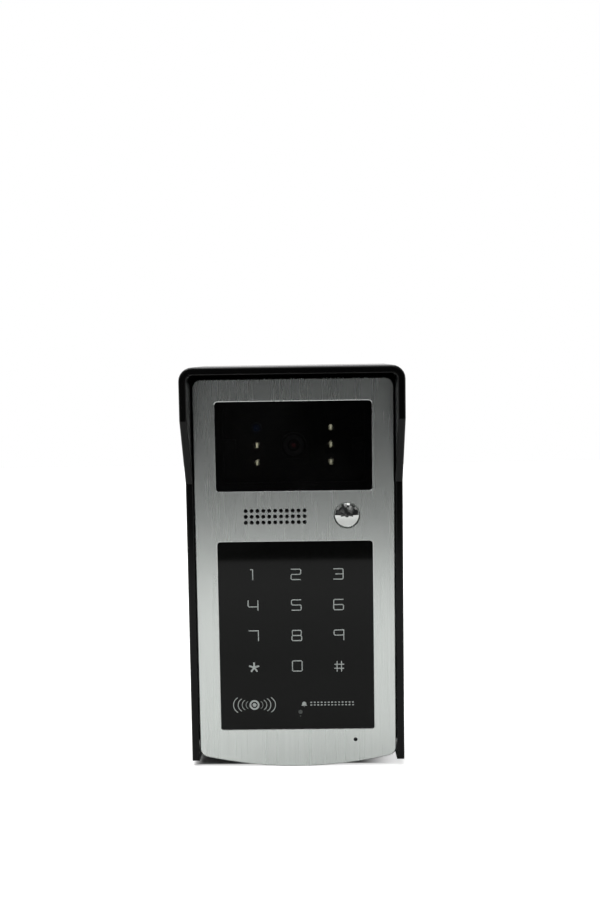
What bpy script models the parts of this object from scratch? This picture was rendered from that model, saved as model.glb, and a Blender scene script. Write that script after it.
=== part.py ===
"""Door station with a rain hood: camera, speaker, call button, touch keypad and microphone.

Units are metres. X runs across the front, Z is up and the front faces -Y. The wall is the
plane y = 0, and the origin lies on it, ORIGIN_HEIGHT above the lowest point of the panel.
Inside the unit a place is given as (x, depth, height): depth is measured back from the
front face of the panel, and height up from the lowest point of the panel's arched edge.
"""

import math

import bmesh
import bpy
from mathutils import Matrix, Vector

# Frame
ORIGIN_HEIGHT = 0.105
PANEL_STANDOFF = 0.035  # wall to the front face of the panel
CLEARANCE = 0.0003  # between pieces that touch or seat on each other
HOLE_CLEARANCE = 0.0003  # round a shank or a stem, on the radius

# Front panel
PANEL_WIDTH = 0.102
PANEL_HEIGHT = 0.2019
PANEL_THICKNESS = 0.002
PANEL_CORNER = 0.0045
PANEL_ARCH_RADIUS = 0.213
PANEL_CHAMFER = 0.0005

# Windows
WINDOW_SIDE = 0.0109  # from the side of the panel
WINDOW_TOP = 0.0112  # from the top of the panel to the camera window
KEYPAD_BOTTOM = 0.0195  # from the lowest point of the panel to the keypad window
WINDOW_WIDTH = PANEL_WIDTH - 2 * WINDOW_SIDE
WINDOW_CORNER = 0.002
WINDOW_RECESS = 0.0006
WINDOW_FLANGE = 0.002
WINDOW_FLANGE_THICKNESS = 0.0012
CAMERA_WINDOW_HEIGHT = 0.0464
CAMERA_WINDOW_CENTRE = PANEL_HEIGHT - WINDOW_TOP - CAMERA_WINDOW_HEIGHT / 2

# Call button
BUTTON_INSET = 0.0243  # from the side of the panel
BUTTON_DROP = 0.0125  # from the bottom of the camera window
BUTTON_X = PANEL_WIDTH / 2 - BUTTON_INSET
BUTTON_HEIGHT = CAMERA_WINDOW_CENTRE - CAMERA_WINDOW_HEIGHT / 2 - BUTTON_DROP
BUTTON_DIAMETER = 0.0128
BUTTON_GAP = 0.0004
BUTTON_DOME = 0.0013
BUTTON_PROUD = 0.0005
BUTTON_FLANGE = 0.0013
BUTTON_FLANGE_THICKNESS = 0.001
BUTTON_STROKE = 0.001
BUTTON_WELL_DEPTH = 0.0080
BUTTON_WELL_WALL = 0.0016
BUTTON_WELL_FLOOR = 0.0016
STEM_DIAMETER = 0.005
STEM_TAIL = 0.001  # behind the clip's groove
CLIP_WIDTH = 0.0018
CLIP_THICKNESS = 0.0006
CLIP_GROOVE = 0.0005
SPRING_DIAMETER = 0.0086
SPRING_WIRE = 0.0005
SPRING_TURNS = 3.5
SWITCH_SIDE = 0.0065
SWITCH_DEPTH = 0.0036
SWITCH_PLUNGER = 0.0034
SWITCH_PLUNGER_OUT = 0.0013
SWITCH_BOARD_LENGTH = 0.0300
SWITCH_BOARD_WIDTH = 0.0120

# Speaker
GRILLE_SPACING = 0.0366  # from the axis of the button
GRILLE_DROP = 0.0002  # below the axis of the button
GRILLE_X = BUTTON_X - GRILLE_SPACING
GRILLE_HEIGHT = BUTTON_HEIGHT - GRILLE_DROP
GRILLE_PITCH = 0.003
GRILLE_COLUMNS = 11
GRILLE_ROWS = 3
GRILLE_HOLE = 0.0017
SPEAKER_LENGTH = 0.036
SPEAKER_WIDTH = 0.020
SPEAKER_DEPTH = 0.0042
SPEAKER_RIM = 0.0012
MESH_THICKNESS = 0.0004
MAGNET_LENGTH = 0.016
MAGNET_WIDTH = 0.010
MAGNET_THICKNESS = 0.0022

# Camera
LENS_DIAMETER = 0.0130
LENS_FRONT = 0.0044
LENS_HEAD = 0.0033
LENS_THREAD = 0.0094
LENS_THREAD_LENGTH = 0.0026
LENS_MOUTH = 0.0112
LENS_GLASS = 0.0064
LENS_HOLDER_SIDE = 0.0145
CAMERA_BOARD_SIDE = 0.038
CAMERA_BAY_MARGIN = 0.004
CAMERA_BAY_WALL = 0.002
CAMERA_BAY_DEPTH = 0.0092
LED_X = 0.019
LED_ROW = 0.0089
LED_DIAMETER = 0.003
LED_FLANGE = 0.0004
LED_FRONT = 0.0046
LED_BACK_GAP = 0.0003
SENSOR_DIAMETER = 0.0028

# Keypad
KEYPAD_DROP = 0.0128  # from the axis of the button to the top of the keypad window
KEYPAD_WINDOW_HEIGHT = BUTTON_HEIGHT - KEYPAD_DROP - KEYPAD_BOTTOM
KEYPAD_WINDOW_CENTRE = KEYPAD_BOTTOM + KEYPAD_WINDOW_HEIGHT / 2
LIGHT_GUIDE_THICKNESS = 0.0012
KEYPAD_OPENING_MARGIN = 0.002
BOARD_THICKNESS = 0.0014
KEYPAD_BOARD_MARGIN = 0.0020
STATUS_X = 0.0015
STATUS_RISE = 0.0094  # above the bottom of the keypad window
STATUS_HEIGHT = KEYPAD_BOTTOM + STATUS_RISE
STATUS_DIAMETER = 0.003
ANTENNA_WIDTH = 0.062
ANTENNA_HEIGHT = 0.044
ANTENNA_TRACK = 0.004
ANTENNA_THICKNESS = 0.0005
ANTENNA_RISE = 0.0255
ANTENNA_CENTRE = KEYPAD_BOTTOM + ANTENNA_RISE

# Microphone
MIC_INSET = 0.0211  # from the side of the panel
MIC_DROP = 0.0054  # below the keypad window
MIC_X = PANEL_WIDTH / 2 - MIC_INSET
MIC_HEIGHT = KEYPAD_BOTTOM - MIC_DROP
MIC_HOLE = 0.0017
MIC_DIAMETER = 0.006
MIC_LENGTH = 0.0026
BOOT_WALL = 0.0011
BOOT_FRONT = 0.0009
BOOT_RING_WALL = 0.0009

# Housings
HOUSING_INSET = 0.002  # from the edge of the panel to the side of the housing
HOUSING_WALL = 0.0032
HOUSING_FRONT_WALL = 0.0025
HOUSING_SPLIT = 0.0197  # depth of the joint between the housings
REAR_COVER_GAP = 0.0005  # to the back plate of the hood
REAR_COVER_FLOOR = 0.0024
REAR_COVER_FILLET = 0.0015
SEAL_WIDTH = 0.001
SEAL_GROOVE_DEPTH = 0.001
SEAL_HEIGHT = 0.0007
BAY_WIDTH = 0.054
BAY_HEIGHT = 0.038
BAY_DEPTH = 0.008
BAY_WALL = 0.0022
BAY_CORNER = 0.003

# Main board
MAIN_BOARD_INSET = 0.006  # from the side of the panel
MAIN_BOARD_MARGIN_LOW = 0.004  # above the bottom of the keypad window
MAIN_BOARD_MARGIN_HIGH = 0.002  # below the top of the keypad window
MAIN_BOARD_DEPTH = 0.0133
MAIN_BOARD_WIDTH = PANEL_WIDTH - 2 * MAIN_BOARD_INSET
MAIN_BOARD_BOTTOM = KEYPAD_BOTTOM + MAIN_BOARD_MARGIN_LOW
MAIN_BOARD_TOP = KEYPAD_BOTTOM + KEYPAD_WINDOW_HEIGHT - MAIN_BOARD_MARGIN_HIGH
BAY_DROP = 0.060  # from the top of the main board
BAY_CENTRE = MAIN_BOARD_TOP - BAY_DROP
PROCESSOR_SIDE = 0.014
PROCESSOR_THICKNESS = 0.0014
PROCESSOR_X = 0.004
PARTS_DROP = 0.021  # processor and relay, from the top of the main board
PARTS_CENTRE = MAIN_BOARD_TOP - PARTS_DROP
CAPACITOR_DIAMETER = 0.008
CAPACITOR_LENGTH = 0.0105
CAPACITOR_INSET = 0.0115  # from the side of the main board
CAPACITOR_X = MAIN_BOARD_WIDTH / 2 - CAPACITOR_INSET
CAPACITOR_PITCH = 0.0115
RELAY_WIDTH = 0.019
RELAY_HEIGHT = 0.015
RELAY_GAP = 0.0021  # to the floor of the rear cover
RELAY_INSET = 0.0165  # from the side of the main board
RELAY_X = RELAY_INSET - MAIN_BOARD_WIDTH / 2
TERMINAL_WIDTH = 0.035
TERMINAL_HEIGHT = 0.009
TERMINAL_DEPTH = 0.0125
TERMINAL_RISE = 0.0085  # above the middle of the cable bay
TERMINAL_CENTRE = BAY_CENTRE + TERMINAL_RISE
TERMINAL_WAYS = 7
RIBBON_WIDTH = 0.010
RIBBON_THICKNESS = 0.0004
RIBBON_X = 0.002

# Screws
BOSS_DIAMETER = 0.0064
COLUMN_DIAMETER = 0.0084
SCREW_SEAT_DEPTH = 0.0021
BOARD_BOSS_DIAMETER = 0.0062
SWITCH_BOSS_DIAMETER = 0.0052
BOARD_SCREW_SIDE = 0.0016  # from the side of the main board
BOARD_SCREW_INSET = 0.004
BOARD_SCREW_X = MAIN_BOARD_WIDTH / 2 - BOARD_SCREW_SIDE
HOUSING_SCREW_INSET = 0.011  # from the side of the panel
HOUSING_SCREW_DROP = 0.0089  # from the top of the panel
HOUSING_SCREW_BELOW = 0.0035  # below the keypad window
HOUSING_SCREW_X = PANEL_WIDTH / 2 - HOUSING_SCREW_INSET
HOUSING_SCREW_LOW = KEYPAD_BOTTOM - HOUSING_SCREW_BELOW
HOUSING_SCREW_HIGH = PANEL_HEIGHT - HOUSING_SCREW_DROP
M3_SHANK = 0.003
M3_HEAD = 0.0055
M3_HEAD_HEIGHT = 0.0018
HOUSING_SCREW_LENGTH = 0.0160
M2_SHANK = 0.002
M2_HEAD = 0.0038
M2_HEAD_HEIGHT = 0.0013
M2_LENGTH = 0.0055

# Rain hood
HOOD_DRAFT = math.radians(1.4)
HOOD_SIDE_GAP = 0.00046  # beside the front face of the panel
HOOD_TOP_GAP = 0.0025  # above the front face of the panel
HOOD_WALL = 0.00385
HOOD_OPENING = PANEL_STANDOFF * math.tan(HOOD_DRAFT)  # by the draft, at the panel's face
HOOD_WIDTH = PANEL_WIDTH + 2 * (HOOD_SIDE_GAP + HOOD_WALL - HOOD_OPENING)  # at the wall
HOOD_TOP = PANEL_HEIGHT + HOOD_TOP_GAP + HOOD_WALL - HOOD_OPENING  # at the wall
HOOD_BOTTOM = 0.003
HOOD_CORNER = 0.0068
HOOD_BACK_PLATE = 0.0025
VISOR_PROJECTION = 0.018  # in front of the panel
VISOR_EDGE_DROP = 0.0209  # from the top of the panel to the visor's lower corner
VISOR_SLANT_DROP = 0.0537  # from the top of the panel to the end of the slant
VISOR_LOW_EDGE = PANEL_HEIGHT - VISOR_EDGE_DROP
VISOR_SLANT_END = PANEL_HEIGHT - VISOR_SLANT_DROP
HOOD_RIM_FILLET = 0.0012
HOOD_RIM_CHAMFER = 0.0004
CABLE_OPENING_WIDTH = 0.044
CABLE_OPENING_HEIGHT = 0.030
CABLE_OPENING_BELOW = 0.002  # below the middle of the cable bay
CABLE_OPENING_CENTRE = BAY_CENTRE - CABLE_OPENING_BELOW
CABLE_OPENING_CORNER = 0.005
GROMMET_WALL = 0.0026
HOOK_DROP = 0.0359  # from the top of the panel
HOOK_X = 0.032
HOOK_HEIGHT = PANEL_HEIGHT - HOOK_DROP
HOOK_WIDTH = 0.010
HOOK_STEM = 0.004
HOOK_LIP = 0.0035
HOOK_LIP_THICKNESS = 0.002
HOOK_POCKET_GAP = 0.0006
HOOK_POCKET_WALL = 0.0018
WALL_SCREW_SLOT = 0.0045
WALL_SCREW_HEAD = 0.009
WALL_SCREW_X = 0.030
WALL_SCREW_DROP = 0.031  # from the hooks to the keyholes
WALL_SCREW_HIGH = HOOK_HEIGHT - WALL_SCREW_DROP
WALL_SCREW_LOW = 0.024
KEYHOLE_RISE = 0.008
LOCK_TAB_WIDTH = 0.016
LOCK_TAB_LENGTH = 0.009
LOCK_TAB_THICKNESS = 0.0022
LOCK_NOTCH_HEIGHT = 0.0064
LOCK_SCREW_SETBACK = 0.0054
LOCK_SCREW_LENGTH = 0.008
LOCK_BLOCK_MARGIN = 0.0033  # above the tip of the lock screw

# Fineness of round shapes
CORNER_STEPS = 4
ARCH_STEPS = 16
ROUND_STEPS = 24
SMALL_STEPS = 10
HOLE_STEPS = 8
GRILLE_STEPS = 12
HOOD_CORNER_STEPS = 6
CUT_MARGIN = 0.002  # how far a cutter runs past the face it cuts

PARTS = "door_station"
CUTTERS = "cutters"

PANEL_BACK = PANEL_THICKNESS
HOUSING_FRONT = PANEL_BACK + CLEARANCE
HOUSING_INNER = HOUSING_FRONT + HOUSING_FRONT_WALL
FLANGE_FRONT = PANEL_BACK + CLEARANCE
FLANGE_BACK = FLANGE_FRONT + WINDOW_FLANGE_THICKNESS
FRONT_BOARD = HOUSING_INNER + CLEARANCE
MAIN_BOARD_BACK = MAIN_BOARD_DEPTH + BOARD_THICKNESS
REAR_COVER_BACK = PANEL_STANDOFF - HOOD_BACK_PLATE - REAR_COVER_GAP
COVER_INSIDE = REAR_COVER_BACK - REAR_COVER_FLOOR
BAY_FLOOR = REAR_COVER_BACK - BAY_DEPTH
IR_BOARD_FRONT = CAMERA_BAY_DEPTH + CLEARANCE
CAMERA_BOARD_FRONT = IR_BOARD_FRONT + BOARD_THICKNESS + CLEARANCE
BUTTON_REST_BACK = HOUSING_FRONT + BUTTON_FLANGE_THICKNESS
CLIP_FRONT = BUTTON_WELL_DEPTH + BUTTON_WELL_FLOOR + CLEARANCE
CLIP_BACK = CLIP_FRONT + CLIP_THICKNESS
STEM_END = CLIP_BACK + CLEARANCE + STEM_TAIL
SWITCH_FRONT = STEM_END + CLEARANCE + SWITCH_PLUNGER_OUT
SWITCH_BOARD_FRONT = SWITCH_FRONT + SWITCH_DEPTH + CLEARANCE


# Scene and materials


def clear_scene():
    for old in list(bpy.data.objects):
        bpy.data.objects.remove(old, do_unlink=True)


def collection(name, hidden=False):
    made = bpy.data.collections.new(name)
    bpy.context.scene.collection.children.link(made)
    made.hide_render = hidden
    return made


def material(name, colour, roughness, metallic=0.0, alpha=1.0):
    """A Principled material from a linear colour."""
    made = bpy.data.materials.new(name)
    made.use_nodes = True
    shader = made.node_tree.nodes["Principled BSDF"]
    shader.inputs["Base Color"].default_value = (*colour, 1.0)
    shader.inputs["Roughness"].default_value = roughness
    shader.inputs["Metallic"].default_value = metallic
    shader.inputs["Alpha"].default_value = alpha
    made.diffuse_color = (*colour, alpha)
    return made


def place(x, depth, height):
    """World position of a place inside the unit."""
    return Vector((x, depth - PANEL_STANDOFF, height - ORIGIN_HEIGHT))


# Mesh helpers


def new_object(name, mesh, location=(0, 0, 0)):
    made = bpy.data.objects.new(name, mesh)
    made.location = location
    bpy.data.collections[PARTS].objects.link(made)
    return made


def from_bmesh(name, shape, location):
    mesh = bpy.data.meshes.new(name)
    bmesh.ops.recalc_face_normals(shape, faces=shape.faces)
    shape.to_mesh(mesh)
    shape.free()
    return new_object(name, mesh, location)


def block(name, centre_x, front, back, bottom, top, width, corner=0.0, steps=CORNER_STEPS):
    """A box between two depths and two heights, its four edges along the depth rounded."""
    shape = bmesh.new()
    bmesh.ops.create_cube(shape, size=1.0)
    bmesh.ops.scale(shape, vec=(width, back - front, top - bottom), verts=shape.verts)
    if corner:
        edges = [edge for edge in shape.edges if abs(edge_direction(edge).y) > 0.99]
        bmesh.ops.bevel(
            shape, geom=edges, offset=corner, segments=steps, profile=0.5, affect="EDGES"
        )
    return from_bmesh(name, shape, place(centre_x, (front + back) / 2, (bottom + top) / 2))


def cylinder(name, x, height, front, back, diameter, steps=SMALL_STEPS):
    """A round bar along the depth."""
    shape = bmesh.new()
    bmesh.ops.create_cone(
        shape,
        cap_ends=True,
        segments=steps,
        radius1=diameter / 2,
        radius2=diameter / 2,
        depth=back - front,
    )
    bmesh.ops.rotate(shape, matrix=Matrix.Rotation(math.pi / 2, 3, "X"), verts=shape.verts)
    return from_bmesh(name, shape, place(x, (front + back) / 2, height))


def bars(name, places, front, back, diameter, steps=SMALL_STEPS):
    """Round bars along the depth as one object, one at each (x, height)."""
    shape = bmesh.new()
    turn = Matrix.Rotation(math.pi / 2, 4, "X")
    for x, height in places:
        bmesh.ops.create_cone(
            shape,
            cap_ends=True,
            segments=steps,
            radius1=diameter / 2,
            radius2=diameter / 2,
            depth=back - front,
            matrix=Matrix.Translation((x, 0.0, height)) @ turn,
        )
    return from_bmesh(name, shape, place(0, (front + back) / 2, 0))


def edge_direction(edge):
    return (edge.verts[1].co - edge.verts[0].co).normalized()


def arc(centre, radius, start, end, steps):
    """Points along an arc, both ends included, with angles in radians."""
    points = []
    for step in range(steps + 1):
        angle = start + (end - start) * step / steps
        points.append((centre[0] + radius * math.cos(angle), centre[1] + radius * math.sin(angle)))
    return points


def rounded_outline(width, height, corner, centre=(0.0, 0.0), steps=CORNER_STEPS):
    """A rectangle with round corners, anticlockwise."""
    reach_x = width / 2 - corner
    reach_y = height / 2 - corner
    points = []
    for quarter, (side_x, side_y) in enumerate(((1, 1), (-1, 1), (-1, -1), (1, -1))):
        middle = (centre[0] + side_x * reach_x, centre[1] + side_y * reach_y)
        start = quarter * math.pi / 2
        points += arc(middle, corner, start, start + math.pi / 2, steps)
    return points


def panel_outline(inset=0.0, corner=None):
    """The outline of the unit with its arched lower edge, drawn in by an inset."""
    radius = PANEL_CORNER if corner is None else corner
    half = PANEL_WIDTH / 2 - inset
    top = PANEL_HEIGHT - inset
    arch = PANEL_ARCH_RADIUS - inset
    side = half - radius
    low = PANEL_ARCH_RADIUS - math.sqrt((arch - radius) ** 2 - side**2)
    lean = math.atan2(PANEL_ARCH_RADIUS - low, side)
    middle = (0.0, PANEL_ARCH_RADIUS)
    points = arc((side, top - radius), radius, 0, math.pi / 2, CORNER_STEPS)
    points += arc((-side, top - radius), radius, math.pi / 2, math.pi, CORNER_STEPS)
    points += arc((-side, low), radius, math.pi, math.pi + lean, CORNER_STEPS)
    points += arc(middle, arch, math.pi + lean, 2 * math.pi - lean, ARCH_STEPS)[1:-1]
    points += arc((side, low), radius, 2 * math.pi - lean, 2 * math.pi, CORNER_STEPS)
    return points


def slot_outline(length, width, centre, steps=2 * CORNER_STEPS + 2):
    """A slot with round ends that runs across."""
    reach = (length - width) / 2
    right = (centre[0] + reach, centre[1])
    left = (centre[0] - reach, centre[1])
    quarter = math.pi / 2
    points = arc(right, width / 2, -quarter, quarter, steps)
    return points + arc(left, width / 2, quarter, 3 * quarter, steps)


def flat_mesh(name, outline, thickness):
    """A flat outline with a thickness, its caps welded on and free of needless edges."""
    curve = bpy.data.curves.new(name, "CURVE")
    curve.dimensions = "2D"
    curve.fill_mode = "BOTH"
    curve.extrude = thickness / 2
    spline = curve.splines.new("POLY")
    spline.points.add(len(outline) - 1)
    for point, (across, along) in zip(spline.points, outline):
        point.co = (across, along, 0.0, 1.0)
    spline.use_cyclic_u = True
    guide = bpy.data.objects.new(name, curve)
    bpy.data.collections[PARTS].objects.link(guide)
    graph = bpy.context.evaluated_depsgraph_get()
    mesh = bpy.data.meshes.new_from_object(guide.evaluated_get(graph))
    bpy.data.objects.remove(guide)
    shape = bmesh.new()
    shape.from_mesh(mesh)
    bmesh.ops.remove_doubles(shape, verts=shape.verts, dist=1e-6)
    bmesh.ops.dissolve_limit(
        shape, angle_limit=math.radians(0.2), verts=shape.verts, edges=shape.edges
    )
    bmesh.ops.recalc_face_normals(shape, faces=shape.faces)
    shape.to_mesh(mesh)
    shape.free()
    return mesh


def flat_solid(name, outline, front, back):
    """A solid with an outline in x and height, between two depths."""
    mesh = flat_mesh(name, outline, back - front)
    mesh.transform(Matrix.Rotation(math.pi / 2, 4, "X"))
    return new_object(name, mesh, place(0, (front + back) / 2, 0))


def turned(name, x, height, profile, steps=ROUND_STEPS):
    """A shape turned about an axis along the depth, from (radius, depth) points, front first.

    A profile that starts and ends on the axis makes a solid, and one that is clear of the
    axis is closed into a ring.
    """
    shape = bmesh.new()
    points = [shape.verts.new((radius, depth, 0.0)) for radius, depth in reversed(profile)]
    for first, second in zip(points, points[1:]):
        shape.edges.new((first, second))
    if profile[0][0] > 0:
        shape.edges.new((points[-1], points[0]))
    mesh = bpy.data.meshes.new(name)
    shape.to_mesh(mesh)
    shape.free()
    made = new_object(name, mesh, place(x, 0, height))
    screw = made.modifiers.new("turn", "SCREW")
    screw.axis = "Y"
    screw.steps = steps
    screw.render_steps = steps
    screw.use_merge_vertices = True
    screw.merge_threshold = 1e-6
    screw.use_smooth_shade = True
    return made


def bake(part):
    """Makes a part's modifiers into its mesh."""
    graph = bpy.context.evaluated_depsgraph_get()
    mesh = bpy.data.meshes.new_from_object(part.evaluated_get(graph))
    part.modifiers.clear()
    part.data = mesh


def bevel_edges(part, chosen, width, segments=1):
    """Rounds the edges of a part's mesh for which chosen is true."""
    shape = bmesh.new()
    shape.from_mesh(part.data)
    edges = [edge for edge in shape.edges if chosen(edge)]
    bmesh.ops.bevel(
        shape, geom=edges, offset=width, segments=segments, profile=0.5, affect="EDGES"
    )
    shape.to_mesh(part.data)
    shape.free()


def rim_edge(side):
    """A test for the edges between a wall and the face turned to the front (-1) or back (1)."""

    def chosen(edge):
        if len(edge.link_faces) != 2:
            return False
        turns = sorted(face.normal.y * side for face in edge.link_faces)
        return turns[1] > 0.9 and abs(turns[0]) < 0.2

    return chosen


def boolean(part, other, operation):
    """Joins or cuts a part with another object, which becomes a hidden cutter."""
    for owner in list(other.users_collection):
        owner.objects.unlink(other)
    bpy.data.collections[CUTTERS].objects.link(other)
    other.hide_render = True
    other.display_type = "WIRE"
    modifier = part.modifiers.new(other.name, "BOOLEAN")
    modifier.operation = operation
    modifier.solver = "EXACT"
    modifier.object = other


def cut(part, *cutters):
    for cutter in cutters:
        boolean(part, cutter, "DIFFERENCE")


def join(part, *others):
    for other in others:
        boolean(part, other, "UNION")


def finish(part, look, smooth=30.0):
    """Gives a part its material, and smooth shading below an angle."""
    bake(part)
    part.data.materials.clear()
    part.data.materials.append(look)
    part.data.shade_smooth()
    part.data.set_sharp_from_angle(angle=math.radians(smooth))
    return part


# Front panel and windows


def window_cutout(name, centre, height, front, back, grow=0.0):
    outline = rounded_outline(
        WINDOW_WIDTH + 2 * grow, height + 2 * grow, WINDOW_CORNER + grow, (0.0, centre)
    )
    return flat_solid(name, outline, front, back)


def grille_holes(name, front, back):
    """Every sound hole of the grille as one cutter."""
    shape = bmesh.new()
    turn = Matrix.Rotation(math.pi / 2, 4, "X")
    for row in range(GRILLE_ROWS):
        for column in range(GRILLE_COLUMNS):
            across = (column - (GRILLE_COLUMNS - 1) / 2) * GRILLE_PITCH
            up = (row - (GRILLE_ROWS - 1) / 2) * GRILLE_PITCH
            bmesh.ops.create_cone(
                shape,
                cap_ends=True,
                segments=GRILLE_STEPS,
                radius1=GRILLE_HOLE / 2,
                radius2=GRILLE_HOLE / 2,
                depth=back - front,
                matrix=Matrix.Translation((across, 0.0, up)) @ turn,
            )
    return from_bmesh(name, shape, place(GRILLE_X, (front + back) / 2, GRILLE_HEIGHT))


def front_panel(look):
    panel = flat_solid("front_panel", panel_outline(), 0.0, PANEL_THICKNESS)
    bevel_edges(panel, rim_edge(-1), PANEL_CHAMFER)
    through = (-CUT_MARGIN, PANEL_THICKNESS + CUT_MARGIN)
    hole = BUTTON_DIAMETER + 2 * BUTTON_GAP
    cut(
        panel,
        window_cutout("panel_camera_cut", CAMERA_WINDOW_CENTRE, CAMERA_WINDOW_HEIGHT, *through),
        window_cutout("panel_keypad_cut", KEYPAD_WINDOW_CENTRE, KEYPAD_WINDOW_HEIGHT, *through),
        grille_holes("panel_grille_cut", *through),
        cylinder("panel_button_cut", BUTTON_X, BUTTON_HEIGHT, *through, hole, ROUND_STEPS),
        cylinder("panel_mic_cut", MIC_X, MIC_HEIGHT, *through, MIC_HOLE, HOLE_STEPS),
    )
    return finish(panel, look)


def window(name, centre, height, look):
    """An acrylic pane that fills a cut-out, with a flange behind the panel."""
    pane = window_cutout(
        name, centre, height, WINDOW_RECESS, FLANGE_FRONT + CUT_MARGIN / 4, -CLEARANCE
    )
    flange = window_cutout(
        name + "_flange", centre, height, FLANGE_FRONT, FLANGE_BACK, WINDOW_FLANGE
    )
    join(pane, flange)
    return finish(pane, look)


# Housings


def bay_size(margin):
    """Width and height of the camera bay, less a margin on each side of the window."""
    return WINDOW_WIDTH - 2 * margin, CAMERA_WINDOW_HEIGHT - 2 * margin


def rectangle(name, centre_x, centre, width, height, front, back, corner):
    outline = rounded_outline(width, height, corner, (centre_x, centre))
    return flat_solid(name, outline, front, back)


def main_board_screw_places():
    low = MAIN_BOARD_BOTTOM + BOARD_SCREW_INSET
    high = MAIN_BOARD_TOP - BOARD_SCREW_INSET
    return [(side * BOARD_SCREW_X, height) for height in (low, high) for side in (-1, 1)]


def housing_screw_places():
    heights = (HOUSING_SCREW_LOW, HOUSING_SCREW_HIGH)
    return [(side * HOUSING_SCREW_X, height) for height in heights for side in (-1, 1)]


def camera_screw_places():
    reach = WINDOW_WIDTH / 2 - CAMERA_BAY_MARGIN - BOSS_DIAMETER / 2
    return [(side * reach, CAMERA_WINDOW_CENTRE) for side in (-1, 1)]


def switch_screw_places():
    reach = SWITCH_BOARD_LENGTH / 2 - M2_HEAD / 2 - M2_SHANK / 4
    return [(BUTTON_X + side * reach, BUTTON_HEIGHT) for side in (-1, 1)]


def add_bosses(part, name, places, diameter, shank, start, end):
    """Round bosses with a screw hole, from a wall at one depth to another."""
    grip = HOUSING_FRONT_WALL / 4
    bore = shank + 2 * HOLE_CLEARANCE
    join(part, bars(name, places, start - grip, end, diameter))
    cut(part, bars(name + "_bore", places, start, end + CUT_MARGIN, bore, HOLE_STEPS))


def front_housing(look):
    housing = flat_solid(
        "front_housing", panel_outline(HOUSING_INSET), HOUSING_FRONT, HOUSING_SPLIT
    )
    inside = panel_outline(HOUSING_INSET + HOUSING_WALL, HOUSING_WALL / 2)
    cut(
        housing,
        flat_solid("housing_inside", inside, HOUSING_INNER, HOUSING_SPLIT + CUT_MARGIN),
    )
    cut_window_seats(housing)
    add_camera_bay(housing)
    add_speaker_seat(housing)
    add_button_well(housing)
    add_microphone_seat(housing)
    add_bosses(
        housing,
        "board_boss",
        main_board_screw_places(),
        BOARD_BOSS_DIAMETER,
        M2_SHANK,
        HOUSING_INNER,
        MAIN_BOARD_DEPTH - CLEARANCE,
    )
    add_bosses(
        housing,
        "housing_boss",
        housing_screw_places(),
        BOSS_DIAMETER,
        M3_SHANK,
        HOUSING_INNER,
        HOUSING_SPLIT,
    )
    return finish(housing, look)


def cut_window_seats(housing):
    """Rebates for the window flanges and the opening behind the keypad."""
    grow = WINDOW_FLANGE + CLEARANCE
    seats = (
        ("camera_seat_cut", CAMERA_WINDOW_CENTRE, CAMERA_WINDOW_HEIGHT),
        ("keypad_seat_cut", KEYPAD_WINDOW_CENTRE, KEYPAD_WINDOW_HEIGHT),
    )
    for name, centre, height in seats:
        cut(
            housing,
            window_cutout(
                name, centre, height, HOUSING_FRONT - CUT_MARGIN, FLANGE_BACK + CLEARANCE, grow
            ),
        )
    cut(
        housing,
        rectangle(
            "keypad_opening_cut",
            0.0,
            KEYPAD_WINDOW_CENTRE,
            WINDOW_WIDTH - 2 * KEYPAD_OPENING_MARGIN,
            KEYPAD_WINDOW_HEIGHT - 2 * KEYPAD_OPENING_MARGIN,
            HOUSING_FRONT,
            HOUSING_INNER + CUT_MARGIN,
            WINDOW_CORNER,
        ),
    )


def add_camera_bay(housing):
    """A walled bay behind the camera window, open at the back for the lamp board."""
    width, height = bay_size(CAMERA_BAY_MARGIN)
    wall = 2 * CAMERA_BAY_WALL
    join(
        housing,
        rectangle(
            "camera_bay_wall",
            0.0,
            CAMERA_WINDOW_CENTRE,
            width + wall,
            height + wall,
            HOUSING_INNER - HOUSING_FRONT_WALL / 4,
            CAMERA_BAY_DEPTH,
            WINDOW_CORNER,
        ),
    )
    cut(
        housing,
        rectangle(
            "camera_bay_cut",
            0.0,
            CAMERA_WINDOW_CENTRE,
            width,
            height,
            HOUSING_FRONT - CUT_MARGIN,
            CAMERA_BAY_DEPTH + CUT_MARGIN,
            WINDOW_CORNER,
        ),
    )
    start = FLANGE_BACK + 2 * CLEARANCE
    for index, (x, centre) in enumerate(camera_screw_places(), 1):
        side = math.copysign(1, x)
        bottom = centre - BOSS_DIAMETER / 2
        reach = BOSS_DIAMETER + CAMERA_BAY_WALL / 2
        middle = x + side * CAMERA_BAY_WALL / 4
        pad = block(
            f"camera_boss_{index}",
            middle,
            start,
            CAMERA_BAY_DEPTH,
            bottom,
            bottom + BOSS_DIAMETER,
            reach,
        )
        join(housing, pad)
        bore = M2_SHANK + 2 * HOLE_CLEARANCE
        back = CAMERA_BAY_DEPTH + CUT_MARGIN
        cut(
            housing,
            cylinder(
                f"camera_bore_{index}", x, centre, start + 2 * CLEARANCE, back, bore, HOLE_STEPS
            ),
        )


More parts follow.
